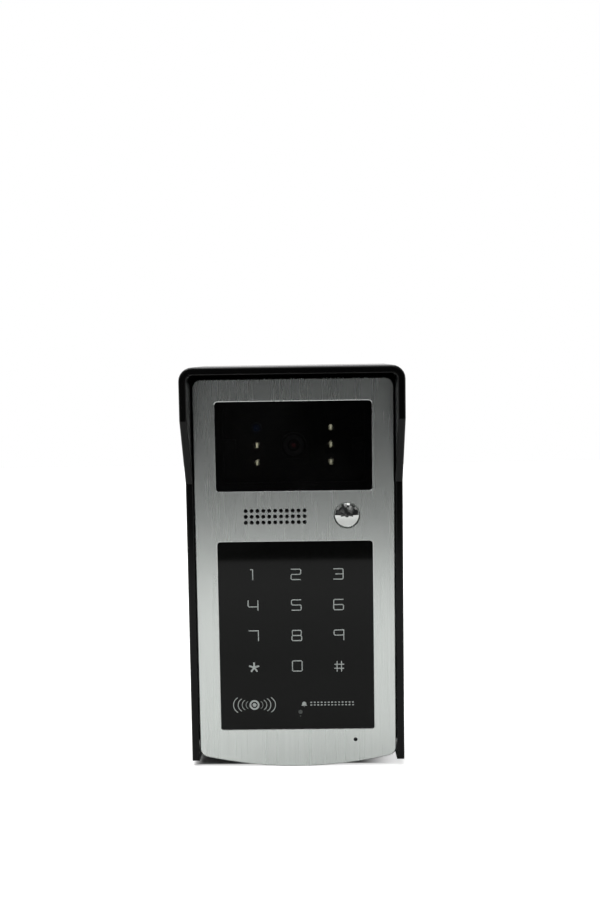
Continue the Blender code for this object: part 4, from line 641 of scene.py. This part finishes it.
@dataclass
class KeypadPrint:
    """The marks under the touch face: twelve keys, reader, bell and status spot."""

    shop: Shop
    keys: tuple[str, ...] = ("123", "456", "789", "*0#")
    columns: tuple[float, ...] = (-0.0221, 0.0002, 0.0219)
    rows: tuple[float, ...] = (0.0819, 0.0659, 0.0499, 0.0338)  # above the opening's bottom
    drops: dict[str, float] = field(default_factory=lambda: {"*": 0.0006, "#": 0.0004})
    flange: float = 0.002  # of the window, behind the panel
    width: float = 0.0055
    height: float = 0.0059
    line: float = 0.0005
    chamfer: float = 0.0005
    play: float = 0.00002  # between strokes that would touch
    thickness: float = 0.00006
    reader: tuple[float, float] = (-0.0223, 0.0133)
    reader_radii: tuple[float, ...] = (0.0026, 0.0017, 0.0010)
    # apex, half height and line of each wave
    waves: tuple[tuple[float, float, float], ...] = (
        (0.0044, 0.0019, 0.0002),
        (0.0064, 0.0026, 0.0003),
        (0.0085, 0.0033, 0.0004),
        (0.0109, 0.0039, 0.0004),
    )
    wave_curve: float = 1.15  # its radius, in half heights
    bell: tuple[float, float] = (0.0035, 0.0137)
    bell_radius: float = 0.0011
    bell_waist: float = -0.0006
    bell_foot: tuple[float, float] = (0.0016, -0.0010)
    clapper_drop: float = 0.0014
    dot_rows: tuple[float, ...] = (-0.0007, 0.0007)
    dots: int = 13
    dot_start: float = 0.0032
    dot_pitch: float = 0.0018
    dot_width: float = 0.0009
    dot_height: float = 0.0006
    status: tuple[float, float] = (0.0015, 0.0094)
    spot_radius: float = 0.0011
    pinhole_radius: float = 0.00035  # also of the bell's clapper
    pinhole_drop: float = 0.0022

    def build(self) -> None:
        """Makes every mark."""
        for row, marks in enumerate(self.keys):
            for column, mark in enumerate(marks):
                name = {"*": "star", "#": "hash"}.get(mark, mark)
                centre = (self.columns[column], self.rows[row] - self.drops.get(mark, 0.0))
                self.lay(f"key_{name}", self.glyph(mark), centre, "silver_ink")
        self.lay("reader_mark", self.reader_outlines(), self.reader, "silver_ink")
        self.lay("bell_mark", self.bell_outlines(), self.bell, "silver_ink")
        self.lay("status_mark", self.status_outlines(), self.status, "thin_ink")

    def open_lines(self) -> dict[str, list[Outline]]:
        """The middle lines of the digits that are drawn as open strokes.

        Returns:
            Each digit's strokes, about its middle.
        """
        x = (self.width - self.line) / 2
        y = (self.height - self.line) / 2
        cut = self.chamfer
        end = self.line / 2 + self.play
        flag, stem = -0.45 * x, 0.05 * x
        tongue = -0.6 * x
        shelf = -0.1 * y
        return {
            "1": [[(flag, y), (stem, y), (stem, -y)]],
            "2": [
                [
                    (-x, y), (x - cut, y), (x, y - cut), (x, cut), (x - cut, 0), (-x + cut, 0),
                    (-x, -cut), (-x, -y + cut), (-x + cut, -y), (x, -y),
                ]
            ],
            "3": [
                [(-x, y), (x - cut, y), (x, y - cut), (x, -y + cut), (x - cut, -y), (-x, -y)],
                [(tongue, 0), (x - end, 0)],
            ],
            "4": [
                [(-x, y), (-x, shelf), (-x + cut, shelf - cut), (x - end, shelf - cut)],
                [(x, y), (x, -y)],
            ],
            "5": [
                [
                    (x, y), (-x + cut, y), (-x, y - cut), (-x, cut), (-x + cut, 0), (x - cut, 0),
                    (x, -cut), (x, -y + cut), (x - cut, -y), (-x, -y),
                ]
            ],
            "6": [
                [
                    (x, y), (-x + cut, y), (-x, y - cut), (-x, -y + cut), (-x + cut, -y),
                    (x - cut, -y), (x, -y + cut), (x, -cut), (x - cut, 0), (-x + end, 0),
                ]
            ],
            "7": [[(-x, y), (x, y), (x, -y)]],
            "9": [
                [
                    (x, -y), (x, y), (-x + cut, y), (-x, y - cut), (-x, cut), (-x + cut, 0),
                    (x - end, 0),
                ]
            ],
        }

    def glyph(self, mark: str) -> list[Outline]:
        """The outlines of one digit or sign, about its middle.

        Args:
            mark: The digit, "*" or "#".

        Returns:
            Closed outlines, inner ones being holes.
        """
        lines = self.open_lines()
        if mark in lines:
            return [stroke(points, self.line) for points in lines[mark]]
        wide = self.width / 2
        tall = self.height / 2
        if mark == "#":
            return self.hash_outlines(wide, tall)
        if mark == "*":
            return [self.star_outline(tall)]
        side = wide - self.line
        top = tall - self.line
        cut = self.chamfer
        clear = self.line / 2 + self.play
        if mark == "0":
            inner = cut_box(-side, -top, side, top, cut / 2)
            return [cut_box(-wide, -tall, wide, tall, cut + clear / 2), inner]
        waist = 0.3 * cut
        upper = cut_box(-side + waist, clear, side - waist, top, cut / 2)
        lower = cut_box(-side, -top, side, -clear, cut / 2)
        return [self.eight_outline(wide, tall, cut), upper, lower]

    def eight_outline(self, wide: float, tall: float, cut: float) -> Outline:
        """The outside of an eight, wider below its waist.

        Args:
            wide: Half its width.
            tall: Half its height.
            cut: How much its corners lose.

        Returns:
            A closed outline.
        """
        right = [(wide, -tall + cut), (wide, -cut), (wide - cut, 0), (wide - cut / 2, cut)]
        right += [(wide - cut / 2, tall - cut), (wide - cut - cut / 2, tall)]
        left = [(-across, up) for across, up in reversed(right)]
        return [(wide - cut, -tall), *right, *left, (-wide + cut, -tall)]

    def hash_outlines(self, wide: float, tall: float) -> list[Outline]:
        """Two upright bars and six short crossbars between them and beside them.

        Args:
            wide: Half its width.
            tall: Half its height.

        Returns:
            Closed outlines.
        """
        across = 0.42 * wide
        level = 0.36 * tall
        reach = 0.92 * wide
        top = 0.94 * tall
        half = self.line / 2
        clear = half + self.play
        shapes = [block(x - half, -top, x + half, top) for x in (-across, across)]
        spans = ((-reach, -across - clear), (-across + clear, across - clear), (across + clear, reach))
        for up in (-level, level):
            shapes += [block(start, up - half, end, up + half) for start, end in spans]
        return shapes

    def star_outline(self, tall: float) -> Outline:
        """Five blunt arms about a point.

        Args:
            tall: Half the height of a digit.

        Returns:
            A closed outline.
        """
        points: Outline = []
        reach = tall * 0.92
        half = self.line * 0.9
        step = math.pi / 5
        inner = half / math.sin(step)
        for arm in range(5):
            angle = math.pi / 2 + arm * 2 * step
            way = Vector((math.cos(angle), math.sin(angle)))
            side = Vector((way.y, -way.x)) * half
            points.append(tuple(way * reach + side))
            points.append(tuple(way * reach - side))
            notch = angle + step
            points.append((inner * math.cos(notch), inner * math.sin(notch)))
        return points

    def arc(self, radius: float, start: float, end: float, steps: int = 10) -> Outline:
        """Points on an arc about the middle, angles in degrees."""
        turns = [math.radians(start + (end - start) * at / steps) for at in range(steps + 1)]
        return [(radius * math.cos(turn), radius * math.sin(turn)) for turn in turns]

    def reader_outlines(self) -> list[Outline]:
        """Three nested rounds, the middle one a hole, and four waves on each side.

        Returns:
            Closed outlines, inner ones being holes.
        """
        shapes = [self.arc(radius, 0, 345, 23) for radius in self.reader_radii]
        for apex, reach, width in self.waves:
            radius = reach * self.wave_curve
            spread = math.degrees(math.asin(reach / radius))
            for side in (1, -1):
                points = self.arc(radius, -spread, spread)
                line = [(side * (x + apex - radius), y) for x, y in points]
                shapes.append(stroke(line, width))
        return shapes

    def bell_outlines(self) -> list[Outline]:
        """A small bell and two rows of dots that lead away from it.

        Returns:
            Closed outlines.
        """
        foot, ground = self.bell_foot
        waist = (self.bell_radius, self.bell_waist)
        body = [(-waist[0], waist[1]), (-foot, ground), (foot, ground), waist]
        bell = self.arc(self.bell_radius, 0, 180) + body
        tip = self.arc(self.pinhole_radius, 200, 340, 6)
        clapper = [(x, y - self.clapper_drop) for x, y in tip]
        half = self.dot_height / 2
        dots = []
        for level in self.dot_rows:
            for at in range(self.dots):
                x = self.dot_start + at * self.dot_pitch
                dots.append(block(x, level - half, x + self.dot_width, level + half))
        return [bell, clapper, *dots]

    def status_outlines(self) -> list[Outline]:
        """The dim spot over the status lamp and the pinhole under it.

        Returns:
            Closed outlines.
        """
        spot = self.arc(self.spot_radius, 0, 340, 18)
        ring = self.arc(self.pinhole_radius, 0, 320, 8)
        return [spot, [(x, y - self.pinhole_drop) for x, y in ring]]

    def lay(
        self, name: str, outlines: list[Outline], centre: tuple[float, float], finish: str
    ) -> None:
        """Makes a mark from its outlines and lays it on the face.

        Args:
            name: The piece's name.
            outlines: Closed outlines, inner ones being holes.
            centre: Its middle, across and above the opening's bottom.
            finish: The name of its finish.
        """
        curve = bpy.data.curves.new(name, "CURVE")
        curve.dimensions = "2D"
        curve.fill_mode = "BOTH"
        curve.extrude = self.thickness / 2
        for outline in outlines:
            spline = curve.splines.new("POLY")
            spline.points.add(len(outline) - 1)
            for point, (across, up) in zip(spline.points, outline):
                point.co = (across, up, 0.0, 1.0)
            spline.use_cyclic_u = True
        mark = bpy.data.objects.new(name, curve)
        bpy.context.collection.objects.link(mark)
        take(mark)
        bpy.ops.object.convert(target="MESH")
        mark = bpy.context.object
        close_mesh(mark)
        mark.rotation_euler = (math.pi / 2, 0.0, 0.0)
        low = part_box("keypad_window")[0]
        bottom = low.z + self.flange
        mark.location = (centre[0], low.y - self.thickness / 2, bottom + centre[1])
        settle(mark, name, self.shop.get(finish))


# Behind the camera window


@dataclass
class RoundPiece:
    """A turned piece, facing the front, stepped in from its face."""

    sides: int = 32

    def turn(
        self,
        name: str,
        front: Vector,
        radius: float,
        length: float,
        steps: tuple[tuple[float, float], ...] = (),
    ) -> bpy.types.Object:
        """Starts from a bar and steps its face in and back.

        Args:
            name: The piece's name.
            front: The middle of its front face.
            radius: Its radius.
            length: Its length.
            steps: For each step, how far the edge moves in and how far the face moves back.

        Returns:
            The new object, with its place in its mesh.
        """
        deselect()
        bpy.ops.mesh.primitive_cylinder_add(
            vertices=self.sides,
            radius=radius,
            depth=length,
            location=front + Vector((0.0, length / 2, 0.0)),
            rotation=(math.pi / 2, 0.0, 0.0),
        )
        piece = bpy.context.object
        piece.name = name
        bpy.ops.object.transform_apply(location=True, rotation=True, scale=True)
        self.pick_ends(piece, rear=False)
        for inset, back in steps:
            bpy.ops.mesh.inset(thickness=inset, depth=0.0)
            bpy.ops.mesh.extrude_region_move(TRANSFORM_OT_translate={"value": (0.0, back, 0.0)})
        bpy.ops.object.mode_set(mode="OBJECT")
        return piece

    def ring(
        self, name: str, front: Vector, outer: float, inner: float, length: float
    ) -> bpy.types.Object:
        """A plain ring, facing the front.

        Args:
            name: The piece's name.
            front: The middle of its front face.
            outer: Its outer radius.
            inner: The radius of its hole.
            length: Its length.

        Returns:
            The new object, with its place in its mesh.
        """
        piece = self.turn(name, front, outer, length)
        self.pick_ends(piece)
        bpy.ops.mesh.inset(thickness=outer - inner, depth=0.0)
        bpy.ops.mesh.bridge_edge_loops()
        bpy.ops.object.mode_set(mode="OBJECT")
        return piece

    def pick_ends(self, piece: bpy.types.Object, front: bool = True, rear: bool = True) -> None:
        """Goes into edit mode with only the round end faces selected.

        Args:
            piece: The turned piece.
            front: Whether to take the end that faces the front.
            rear: Whether to take the other end.
        """
        if bpy.context.mode != "EDIT_MESH":
            take(piece)
            bpy.ops.object.mode_set(mode="EDIT")
        bpy.ops.mesh.select_mode(type="FACE")
        bpy.ops.mesh.select_all(action="DESELECT")
        shape = bmesh.from_edit_mesh(piece.data)
        ends = [face for face in shape.faces if len(face.verts) == self.sides]
        ends.sort(key=lambda face: face.calc_center_median().y)
        if front:
            ends[0].select = True
        if rear:
            ends[-1].select = True
        bmesh.update_edit_mesh(piece.data)


@dataclass
class Eye:
    """The lens' baffles and rim, the sensor's gel and the cups inside the infrared lamps, which shine
    as painted glints.
    """

    shop: Shop
    sides: int = 64
    mouth: float = 0.0052
    baffles: int = 3
    ledge: float = 0.0007
    step: float = 0.0003
    fill: float = 0.9  # of the step, that a baffle's length takes
    rim_radius: float = 0.0058
    rim_bead: float = 0.0006
    bead_sides: int = 16
    gel_radius: float = 0.0027
    gel_depth: float = 0.0004
    gel_sides: int = 32
    lamps: int = 5
    cup_radius: float = 0.00014
    cup_length: float = 0.0012
    cup_depth: float = 0.0014  # behind the lamp's tip
    cup_hollow: tuple[float, float] = (0.00006, 0.0001)
    cup_sides: int = 4
    stretch: float = 8.0

    def build(self) -> None:
        """Makes the baffles, the rim, the gel and the cups."""
        self.add_baffles()
        self.rim()
        self.gel()
        cup = self.cup()
        for number in range(1, self.lamps + 1):
            piece = cup if number == self.lamps else copy_piece(cup)
            piece.location = front_middle(f"ir_led_{number}")
            settle(piece, f"lamp_glint_cup_{number}", self.shop.get("silvered_cup_painted_glint"))

    def add_baffles(self) -> None:
        """Rings that step from the barrel's mouth down to the glass."""
        turner = RoundPiece(self.sides)
        front = front_middle("lens_barrel")
        outer = self.mouth
        for number in range(1, self.baffles + 1):
            front = front + Vector((0.0, self.step, 0.0))
            inner = outer - self.ledge
            name = f"lens_baffle_{number}"
            ring = turner.ring(name, front, outer, inner, self.step * self.fill)
            settle(ring, name, self.shop.get("black_anodised_barrel"))
            outer = inner

    def rim(self) -> None:
        """The rounded rim that holds the front lens."""
        deselect()
        bpy.ops.mesh.primitive_torus_add(
            major_radius=self.rim_radius,
            minor_radius=self.rim_bead,
            major_segments=self.sides,
            minor_segments=self.bead_sides,
            location=front_middle("lens_barrel"),
            rotation=(math.pi / 2, 0.0, 0.0),
        )
        rim = bpy.context.object
        bpy.ops.object.shade_smooth()
        settle(rim, "lens_rim", self.shop.get("polished_black_rim"))

    def gel(self) -> None:
        """The ring of gel that the light sensor is set in."""
        low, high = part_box("light_sensor")
        front = front_middle("light_sensor") + Vector((0.0, self.gel_depth, 0.0))
        inner = (high.x - low.x) / 2
        length = high.y - front.y
        ring = RoundPiece(self.gel_sides).ring("sensor_gel", front, self.gel_radius, inner, length)
        settle(ring, "sensor_gel", self.shop.get("blue_gel"))

    def cup(self) -> bpy.types.Object:
        """A slim four-sided cup, taller than wide, behind a lamp's tip, shaped as the painted glint it
        shines with.

        Returns:
            The new object, placed as if the tip were at the origin.
        """
        front = Vector((0.0, self.cup_depth, 0.0))
        turner = RoundPiece(self.cup_sides)
        cup = turner.turn("lamp_glint_cup", front, self.cup_radius, self.cup_length, (self.cup_hollow,))
        bpy.ops.object.mode_set(mode="EDIT")
        bpy.ops.mesh.select_all(action="SELECT")
        bpy.ops.transform.resize(value=(1.0, 1.0, self.stretch))
        bpy.ops.object.mode_set(mode="OBJECT")
        return cup


# Sound holes and connectors


@dataclass
class SoundHoles:
    """Black collars round the panel's sound holes as painted shade that makes them look wider and
    darker, and the felt on the microphone.
    """

    shop: Shop
    axis: tuple[float, float] = (-0.0099, 0.0266)
    columns: int = 11
    rows: int = 3
    pitch: float = 0.003
    sides: int = 16
    rim: float = 0.00101
    rim_thickness: float = 0.00006
    proud: float = 0.00003
    radius: float = 0.00083  # of the tube in the hole
    bore: float = 0.00072
    length: float = 0.0018
    microphone: tuple[float, float] = (0.0299, -0.0909)
    felt_radius: float = 0.0024
    felt_thickness: float = 0.0003
    felt_sides: int = 24

    def build(self) -> None:
        """Makes the collars and the felt."""
        places = [
            (
                self.axis[0] + (column - (self.columns - 1) / 2) * self.pitch,
                self.axis[1] + (row - (self.rows - 1) / 2) * self.pitch,
            )
            for row in range(self.rows)
            for column in range(self.columns)
        ]
        places.append(self.microphone)
        first = self.collar()
        collars = []
        for across, up in places:
            collar = copy_piece(first)
            collar.location = (across, 0.0, up)
            collars.append(collar)
        bpy.data.objects.remove(first)
        deselect()
        for collar in collars:
            collar.select_set(True)
        bpy.context.view_layer.objects.active = collars[0]
        bpy.ops.object.join()
        # painted shade: the black collars make the holes look wider and darker
        settle(bpy.context.object, "hole_shade_collars", self.shop.get("black_felt_and_hole_shade"))
        self.felt()

    def collar(self) -> bpy.types.Object:
        """A thin rim that lies on the panel, and a tube behind it that lines the hole.

        Returns:
            The new object, on the panel's middle line.
        """
        turner = RoundPiece(self.sides)
        front = Vector((0.0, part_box("front_panel")[0].y - self.proud, 0.0))
        collar = turner.turn("sound_collar", front, self.rim, self.rim_thickness)
        turner.pick_ends(collar, front=False)
        bpy.ops.mesh.inset(thickness=self.rim - self.radius, depth=0.0)
        bpy.ops.mesh.extrude_region_move(TRANSFORM_OT_translate={"value": (0.0, self.length, 0.0)})
        bpy.ops.mesh.inset(thickness=self.radius - self.bore, depth=0.0)
        turner.pick_ends(collar, rear=False)
        bpy.ops.mesh.inset(thickness=self.rim - self.bore, depth=0.0)
        turner.pick_ends(collar)
        bpy.ops.mesh.bridge_edge_loops()
        bpy.ops.object.mode_set(mode="OBJECT")
        return collar

    def felt(self) -> None:
        """A disc of felt on the microphone's face."""
        face = front_middle("microphone_capsule")
        front = face - Vector((0.0, self.felt_thickness, 0.0))
        turner = RoundPiece(self.felt_sides)
        disc = turner.turn("microphone_felt", front, self.felt_radius, self.felt_thickness)
        settle(disc, "microphone_felt", self.shop.get("black_felt_and_hole_shade"))


@dataclass
class ReturnSpring:
    """The button's wound wire spring, which shortens as the button goes in."""

    shop: Shop
    wire: float = 0.0005
    turns: float = 3.5
    steps: int = 28  # to a turn
    sides: int = 10
    stroke: float = 0.001

    def build(self) -> None:
        """Winds the wire in the place of the plain spring."""
        low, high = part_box("button_spring")
        centre = (low + high) / 2
        radius = (high.x - low.x - self.wire) / 2
        length = high.y - low.y
        deselect()
        bpy.ops.mesh.primitive_circle_add(
            vertices=self.sides,
            radius=self.wire / 2,
            fill_type="NOTHING",
            location=(radius, 0.0, 0.0),
        )
        coil = bpy.context.object
        bpy.ops.object.transform_apply(location=True, rotation=False, scale=False)
        winding = coil.modifiers.new("winding", "SCREW")
        winding.axis = "Y"
        winding.angle = 2 * math.pi * self.turns
        winding.screw_offset = length - self.wire
        winding.steps = winding.render_steps = round(self.steps * self.turns)
        winding.use_smooth_shade = True
        bpy.ops.object.modifier_apply(modifier="winding")
        self.close_ends(coil)
        close_mesh(coil)
        coil.location = (centre.x, low.y + self.wire / 2, centre.z)
        settle(coil, "return_spring", self.shop.get("zinc_plated_steel"))
        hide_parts("button_spring")
        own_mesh(coil)

    def close_ends(self, coil: bpy.types.Object) -> None:
        """Closes the wire's two cut ends.

        Args:
            coil: The wound wire.
        """
        take(coil)
        bpy.ops.object.mode_set(mode="EDIT")
        bpy.ops.mesh.select_mode(type="EDGE")
        bpy.ops.mesh.select_all(action="DESELECT")
        shape = bmesh.from_edit_mesh(coil.data)
        for edge in shape.edges:
            edge.select = edge.is_boundary
        bmesh.update_edit_mesh(coil.data)
        bpy.ops.mesh.edge_face_add()
        bpy.ops.object.mode_set(mode="OBJECT")


@dataclass
class HeaderPins:
    """A square contact pin in each way of the terminal block."""

    shop: Shop
    ways: int = 7
    side: float = 0.0008
    length: float = 0.0036
    sunk: float = 0.0006
    taper: float = 0.6  # its length, in sides
    point: float = 0.3

    def build(self) -> None:
        """Models one pin and copies it into each way."""
        low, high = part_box("terminal_header")
        pitch = (high.x - low.x) / self.ways
        height = (low.z + high.z) / 2
        first = self.pin()
        for way in range(1, self.ways + 1):
            pin = first if way == self.ways else copy_piece(first)
            across = low.x + pitch * (way - 0.5)
            pin.location = (across, high.y - self.length / 2 - self.sunk, height)
            settle(pin, f"header_pin_{way}", self.shop.get("tinned_brass"))

    def pin(self) -> bpy.types.Object:
        """One pin whose rear end is tapered.

        Returns:
            The new object, about the origin.
        """
        deselect()
        bpy.ops.mesh.primitive_cube_add(size=1.0)
        pin = bpy.context.object
        pin.scale = (self.side, self.length, self.side)
        bpy.ops.object.transform_apply(location=False, rotation=False, scale=True)
        take(pin)
        bpy.ops.object.mode_set(mode="EDIT")
        bpy.ops.mesh.select_mode(type="FACE")
        bpy.ops.mesh.select_all(action="DESELECT")
        shape = bmesh.from_edit_mesh(pin.data)
        max(shape.faces, key=lambda each: each.calc_center_median().y).select = True
        bmesh.update_edit_mesh(pin.data)
        taper = (0.0, self.side * self.taper, 0.0)
        bpy.ops.mesh.extrude_region_move(TRANSFORM_OT_translate={"value": taper})
        bpy.ops.transform.resize(value=(self.point, 1.0, self.point))
        bpy.ops.object.mode_set(mode="OBJECT")
        return pin


# Studio


@dataclass(frozen=True)
class Lamp:
    """A soft rectangular lamp."""

    name: str
    place: tuple[float, float, float]
    aim: tuple[float, float, float]
    size: tuple[float, float]
    power: float  # watts

    def hang(self) -> None:
        """Makes the lamp and turns it to its aim."""
        light = bpy.data.lights.new(self.name, "AREA")
        light.shape = "RECTANGLE"
        light.size, light.size_y = self.size
        light.energy = self.power
        made = bpy.data.objects.new(self.name, light)
        made.location = self.place
        way = Vector(self.aim) - Vector(self.place)
        made.rotation_euler = way.to_track_quat("-Z", "Y").to_euler()
        bpy.context.collection.objects.link(made)


@dataclass
class Studio:
    """The table, the dark end of the room, the lamps, the world and the camera."""

    floor_level: float = -0.105
    floor_front: float = -0.585
    floor_side: float = 1.3
    floor_back: float = 1.3
    # Where the shadow patch under the station ends: axis, still dark, open table
    dark_ends: tuple[tuple[str, float, float], ...] = (
        ("X", -0.05, -0.058),
        ("X", 0.03, 0.052),
        ("Y", -0.03, -0.0325),
        ("Y", 0.0, 0.01),
    )
    # The table's own light to the eye and in a gloss: two distances, a strength at each
    seen: tuple[float, float, float, float] = (0.14, 0.5, 0.68, 1.0)
    mirrored: tuple[float, float, float, float] = (0.26, 0.48, 0.0, 0.3)
    cloth_back: float = -1.1
    cloth_side: float = 2.0
    cloth_top: float = 1.6
    fold: float = 0.2  # from one fold to the next
    crumple: float = 3.0  # finer layers in the folds
    # The stray light that the cloth's folds and then its height give back
    folds: tuple[float, float, float, float] = (0.5, 0.62, 0.0, 0.4)
    rise: tuple[float, float, float, float] = (0.2, 0.4, 0.25, 1.0)
    room: float = 0.25  # the world's strength where it isn't seen
    lamps: tuple[Lamp, ...] = (
        Lamp("overhead_box", (-0.15, -0.15, 1.15), (0.0, -0.1, 0.0), (1.0, 1.0), 16.5),
        Lamp("front_strip", (-0.1, -0.95, 0.76), (0.0, 0.0, 0.0), (2.4, 0.14), 1.5),
    )
    camera_place: tuple[float, float, float] = (0.0129, -0.6496, 0.1254)
    yaw: float = 0.897  # degrees, as the next two
    pitch: float = 6.024
    roll: float = -0.856
    focal: float = 48.81  # mm
    sensor: float = 36.0  # mm, its height
    nearest: float = 0.01

    def build(self) -> None:
        """Makes the whole studio."""
        bpy.context.scene.view_settings.view_transform = "Standard"
        self.table()
        self.cloth()
        for lamp in self.lamps:
            lamp.hang()
        self.world()
        self.camera()

    def plane(self, name: str, corners: list[Corner], look: bpy.types.Material) -> bpy.types.Object:
        """A flat stage piece.

        Args:
            name: Its name.
            corners: Four corners in turn.
            look: Its material.

        Returns:
            The new object.
        """
        mesh = bpy.data.meshes.new(name)
        mesh.from_pydata(corners, [], [(0, 1, 2, 3)])
        mesh.materials.append(look)
        made = bpy.data.objects.new(name, mesh)
        bpy.context.collection.objects.link(made)
        return made

    def level_corners(self, side: float, front: float, back: float) -> list[Corner]:
        """The corners of a rectangle at the table's level.

        Args:
            side: How far it reaches to either side.
            front: Where it starts.
            back: Where it ends.

        Returns:
            Four corners in turn.
        """
        level = self.floor_level
        return [(-side, front, level), (side, front, level), (side, back, level), (-side, back, level)]

    def look(self, name: str, colour: str, roughness: float) -> bpy.types.Material:
        """A plain matt material, whose own light is still to be linked.

        Args:
            name: Its name.
            colour: Its hex colour.
            roughness: Its roughness.

        Returns:
            The new material.
        """
        look = bpy.data.materials.new(name)
        look.use_nodes = True
        shader = look.node_tree.nodes["Principled BSDF"]
        shader.inputs["Base Color"].default_value = linear(colour)
        shader.inputs["Roughness"].default_value = roughness
        shader.inputs["Emission Color"].default_value = (1.0, 1.0, 1.0, 1.0)
        return look

    def table(self) -> None:
        """A white table, lit by itself towards the backdrop and dark under the station."""
        look = self.look("white_table", "d9dad9", roughness=0.6)
        tree = look.node_tree
        place = add_node(tree, "TexCoord")
        split = add_node(tree, "SeparateXYZ", {"Vector": place.outputs["Object"]})
        outside: bpy.types.NodeSocket | float = 0.0
        for axis, inner, outer in self.dark_ends:
            edge = add_node(
                tree,
                "MapRange",
                {"Value": split.outputs[axis], "From Min": inner, "From Max": outer},
                interpolation_type="SMOOTHSTEP",
            )
            sides = {0: edge.outputs["Result"], 1: outside}
            outside = add_node(tree, "Math", sides, operation="MAXIMUM").outputs[0]
        far = add_node(tree, "VectorMath", {0: place.outputs["Object"]}, operation="LENGTH")
        distance = far.outputs["Value"]
        fade = add_node(tree, "MapRange", {"Value": distance, **dict(zip(SPAN, self.seen))})
        gleam = add_node(tree, "MapRange", {"Value": distance, **dict(zip(SPAN, self.mirrored))})
        ray = add_node(tree, "LightPath")
        lit = add_node(tree, "Math", {0: fade.outputs["Result"], 1: outside}, operation="MULTIPLY")
        seen = add_node(
            tree, "Math", {0: lit.outputs[0], 1: ray.outputs["Is Camera Ray"]}, operation="MULTIPLY"
        )
        both = add_node(
            tree,
            "Math",
            {0: gleam.outputs["Result"], 1: ray.outputs["Is Glossy Ray"], 2: seen.outputs[0]},
            operation="MULTIPLY_ADD",
        )
        shader = tree.nodes["Principled BSDF"]
        tree.links.new(both.outputs[0], shader.inputs["Emission Strength"])
        corners = self.level_corners(self.floor_side, self.floor_front, self.floor_back)
        self.plane("table", corners, look)

    def cloth(self) -> None:
        """The unlit end of the room behind the camera, which only reflections see."""
        look = self.look("dark_cloth", "141516", roughness=0.9)
        tree = look.node_tree
        place = add_node(tree, "TexCoord")
        noise = add_node(
            tree,
            "TexNoise",
            {"Vector": place.outputs["Object"], "Scale": 1 / self.fold, "Detail": self.crumple},
        )
        folds = add_node(
            tree, "MapRange", {"Value": noise.outputs["Fac"], **dict(zip(SPAN, self.folds))}
        )
        split = add_node(tree, "SeparateXYZ", {"Vector": place.outputs["Object"]})
        rise = add_node(tree, "MapRange", {"Value": split.outputs["Z"], **dict(zip(SPAN, self.rise))})
        lit = add_node(
            tree, "Math", {0: folds.outputs["Result"], 1: rise.outputs["Result"]}, operation="MULTIPLY"
        )
        shader = tree.nodes["Principled BSDF"]
        tree.links.new(lit.outputs[0], shader.inputs["Emission Strength"])
        side, far = self.cloth_side, self.cloth_back
        low = self.level_corners(side, self.floor_front, far)
        back = [low[3], low[2], (side, far, self.cloth_top), (-side, far, self.cloth_top)]
        for name, corners in (("dark_cloth_low", low), ("dark_cloth_back", back)):
            self.plane(name, corners, look).visible_camera = False

    def world(self) -> None:
        """White to the eye, in reflections and through clear parts, dim for the rest."""
        world = bpy.data.worlds.new("studio_world")
        bpy.context.scene.world = world
        world.use_nodes = True
        tree = world.node_tree
        ray = add_node(tree, "LightPath")
        white = ray.outputs["Is Camera Ray"]
        for kind in ("Is Glossy Ray", "Is Transmission Ray"):
            sides = {0: white, 1: ray.outputs[kind]}
            white = add_node(tree, "Math", sides, operation="MAXIMUM").outputs[0]
        level = add_node(tree, "MapRange", {"Value": white, "To Min": self.room, "To Max": 1.0})
        shader = tree.nodes["Background"]
        tree.links.new(level.outputs["Result"], shader.inputs["Strength"])
        shader.inputs["Color"].default_value = (1.0, 1.0, 1.0, 1.0)

    def camera(self) -> None:
        """The camera at the photograph's angle."""
        data = bpy.data.cameras.new("main_camera")
        data.sensor_fit = "VERTICAL"
        data.sensor_height = self.sensor
        data.lens = self.focal
        data.clip_start = self.nearest
        made = bpy.data.objects.new("main_camera", data)
        yaw, pitch, roll = (math.radians(angle) for angle in (self.yaw, self.pitch, self.roll))
        level = Vector((-math.sin(yaw), math.cos(yaw), 0.0)) * math.cos(pitch)
        ahead = level - Vector((0.0, 0.0, math.sin(pitch)))
        right = Vector((math.cos(yaw), math.sin(yaw), 0.0))
        above = right.cross(ahead)
        across = right * math.cos(roll) + above * math.sin(roll)
        upward = above * math.cos(roll) - right * math.sin(roll)
        turn = Matrix((across, upward, -ahead)).transposed().to_4x4()
        made.matrix_world = Matrix.Translation(self.camera_place) @ turn
        bpy.context.collection.objects.link(made)
        bpy.context.scene.camera = made


def main() -> None:
    """Builds the studio, the finishes and the pieces in turn."""
    logging.basicConfig(level=logging.INFO, format="%(message)s")
    Studio().build()
    shop = Shop()
    Dresser(shop).dress()
    BrightEdges(shop).build()
    KeypadPrint(shop).build()
    Eye(shop).build()
    SoundHoles(shop).build()
    ReturnSpring(shop).build()
    HeaderPins(shop).build()


if __name__ == "__main__":
    main()
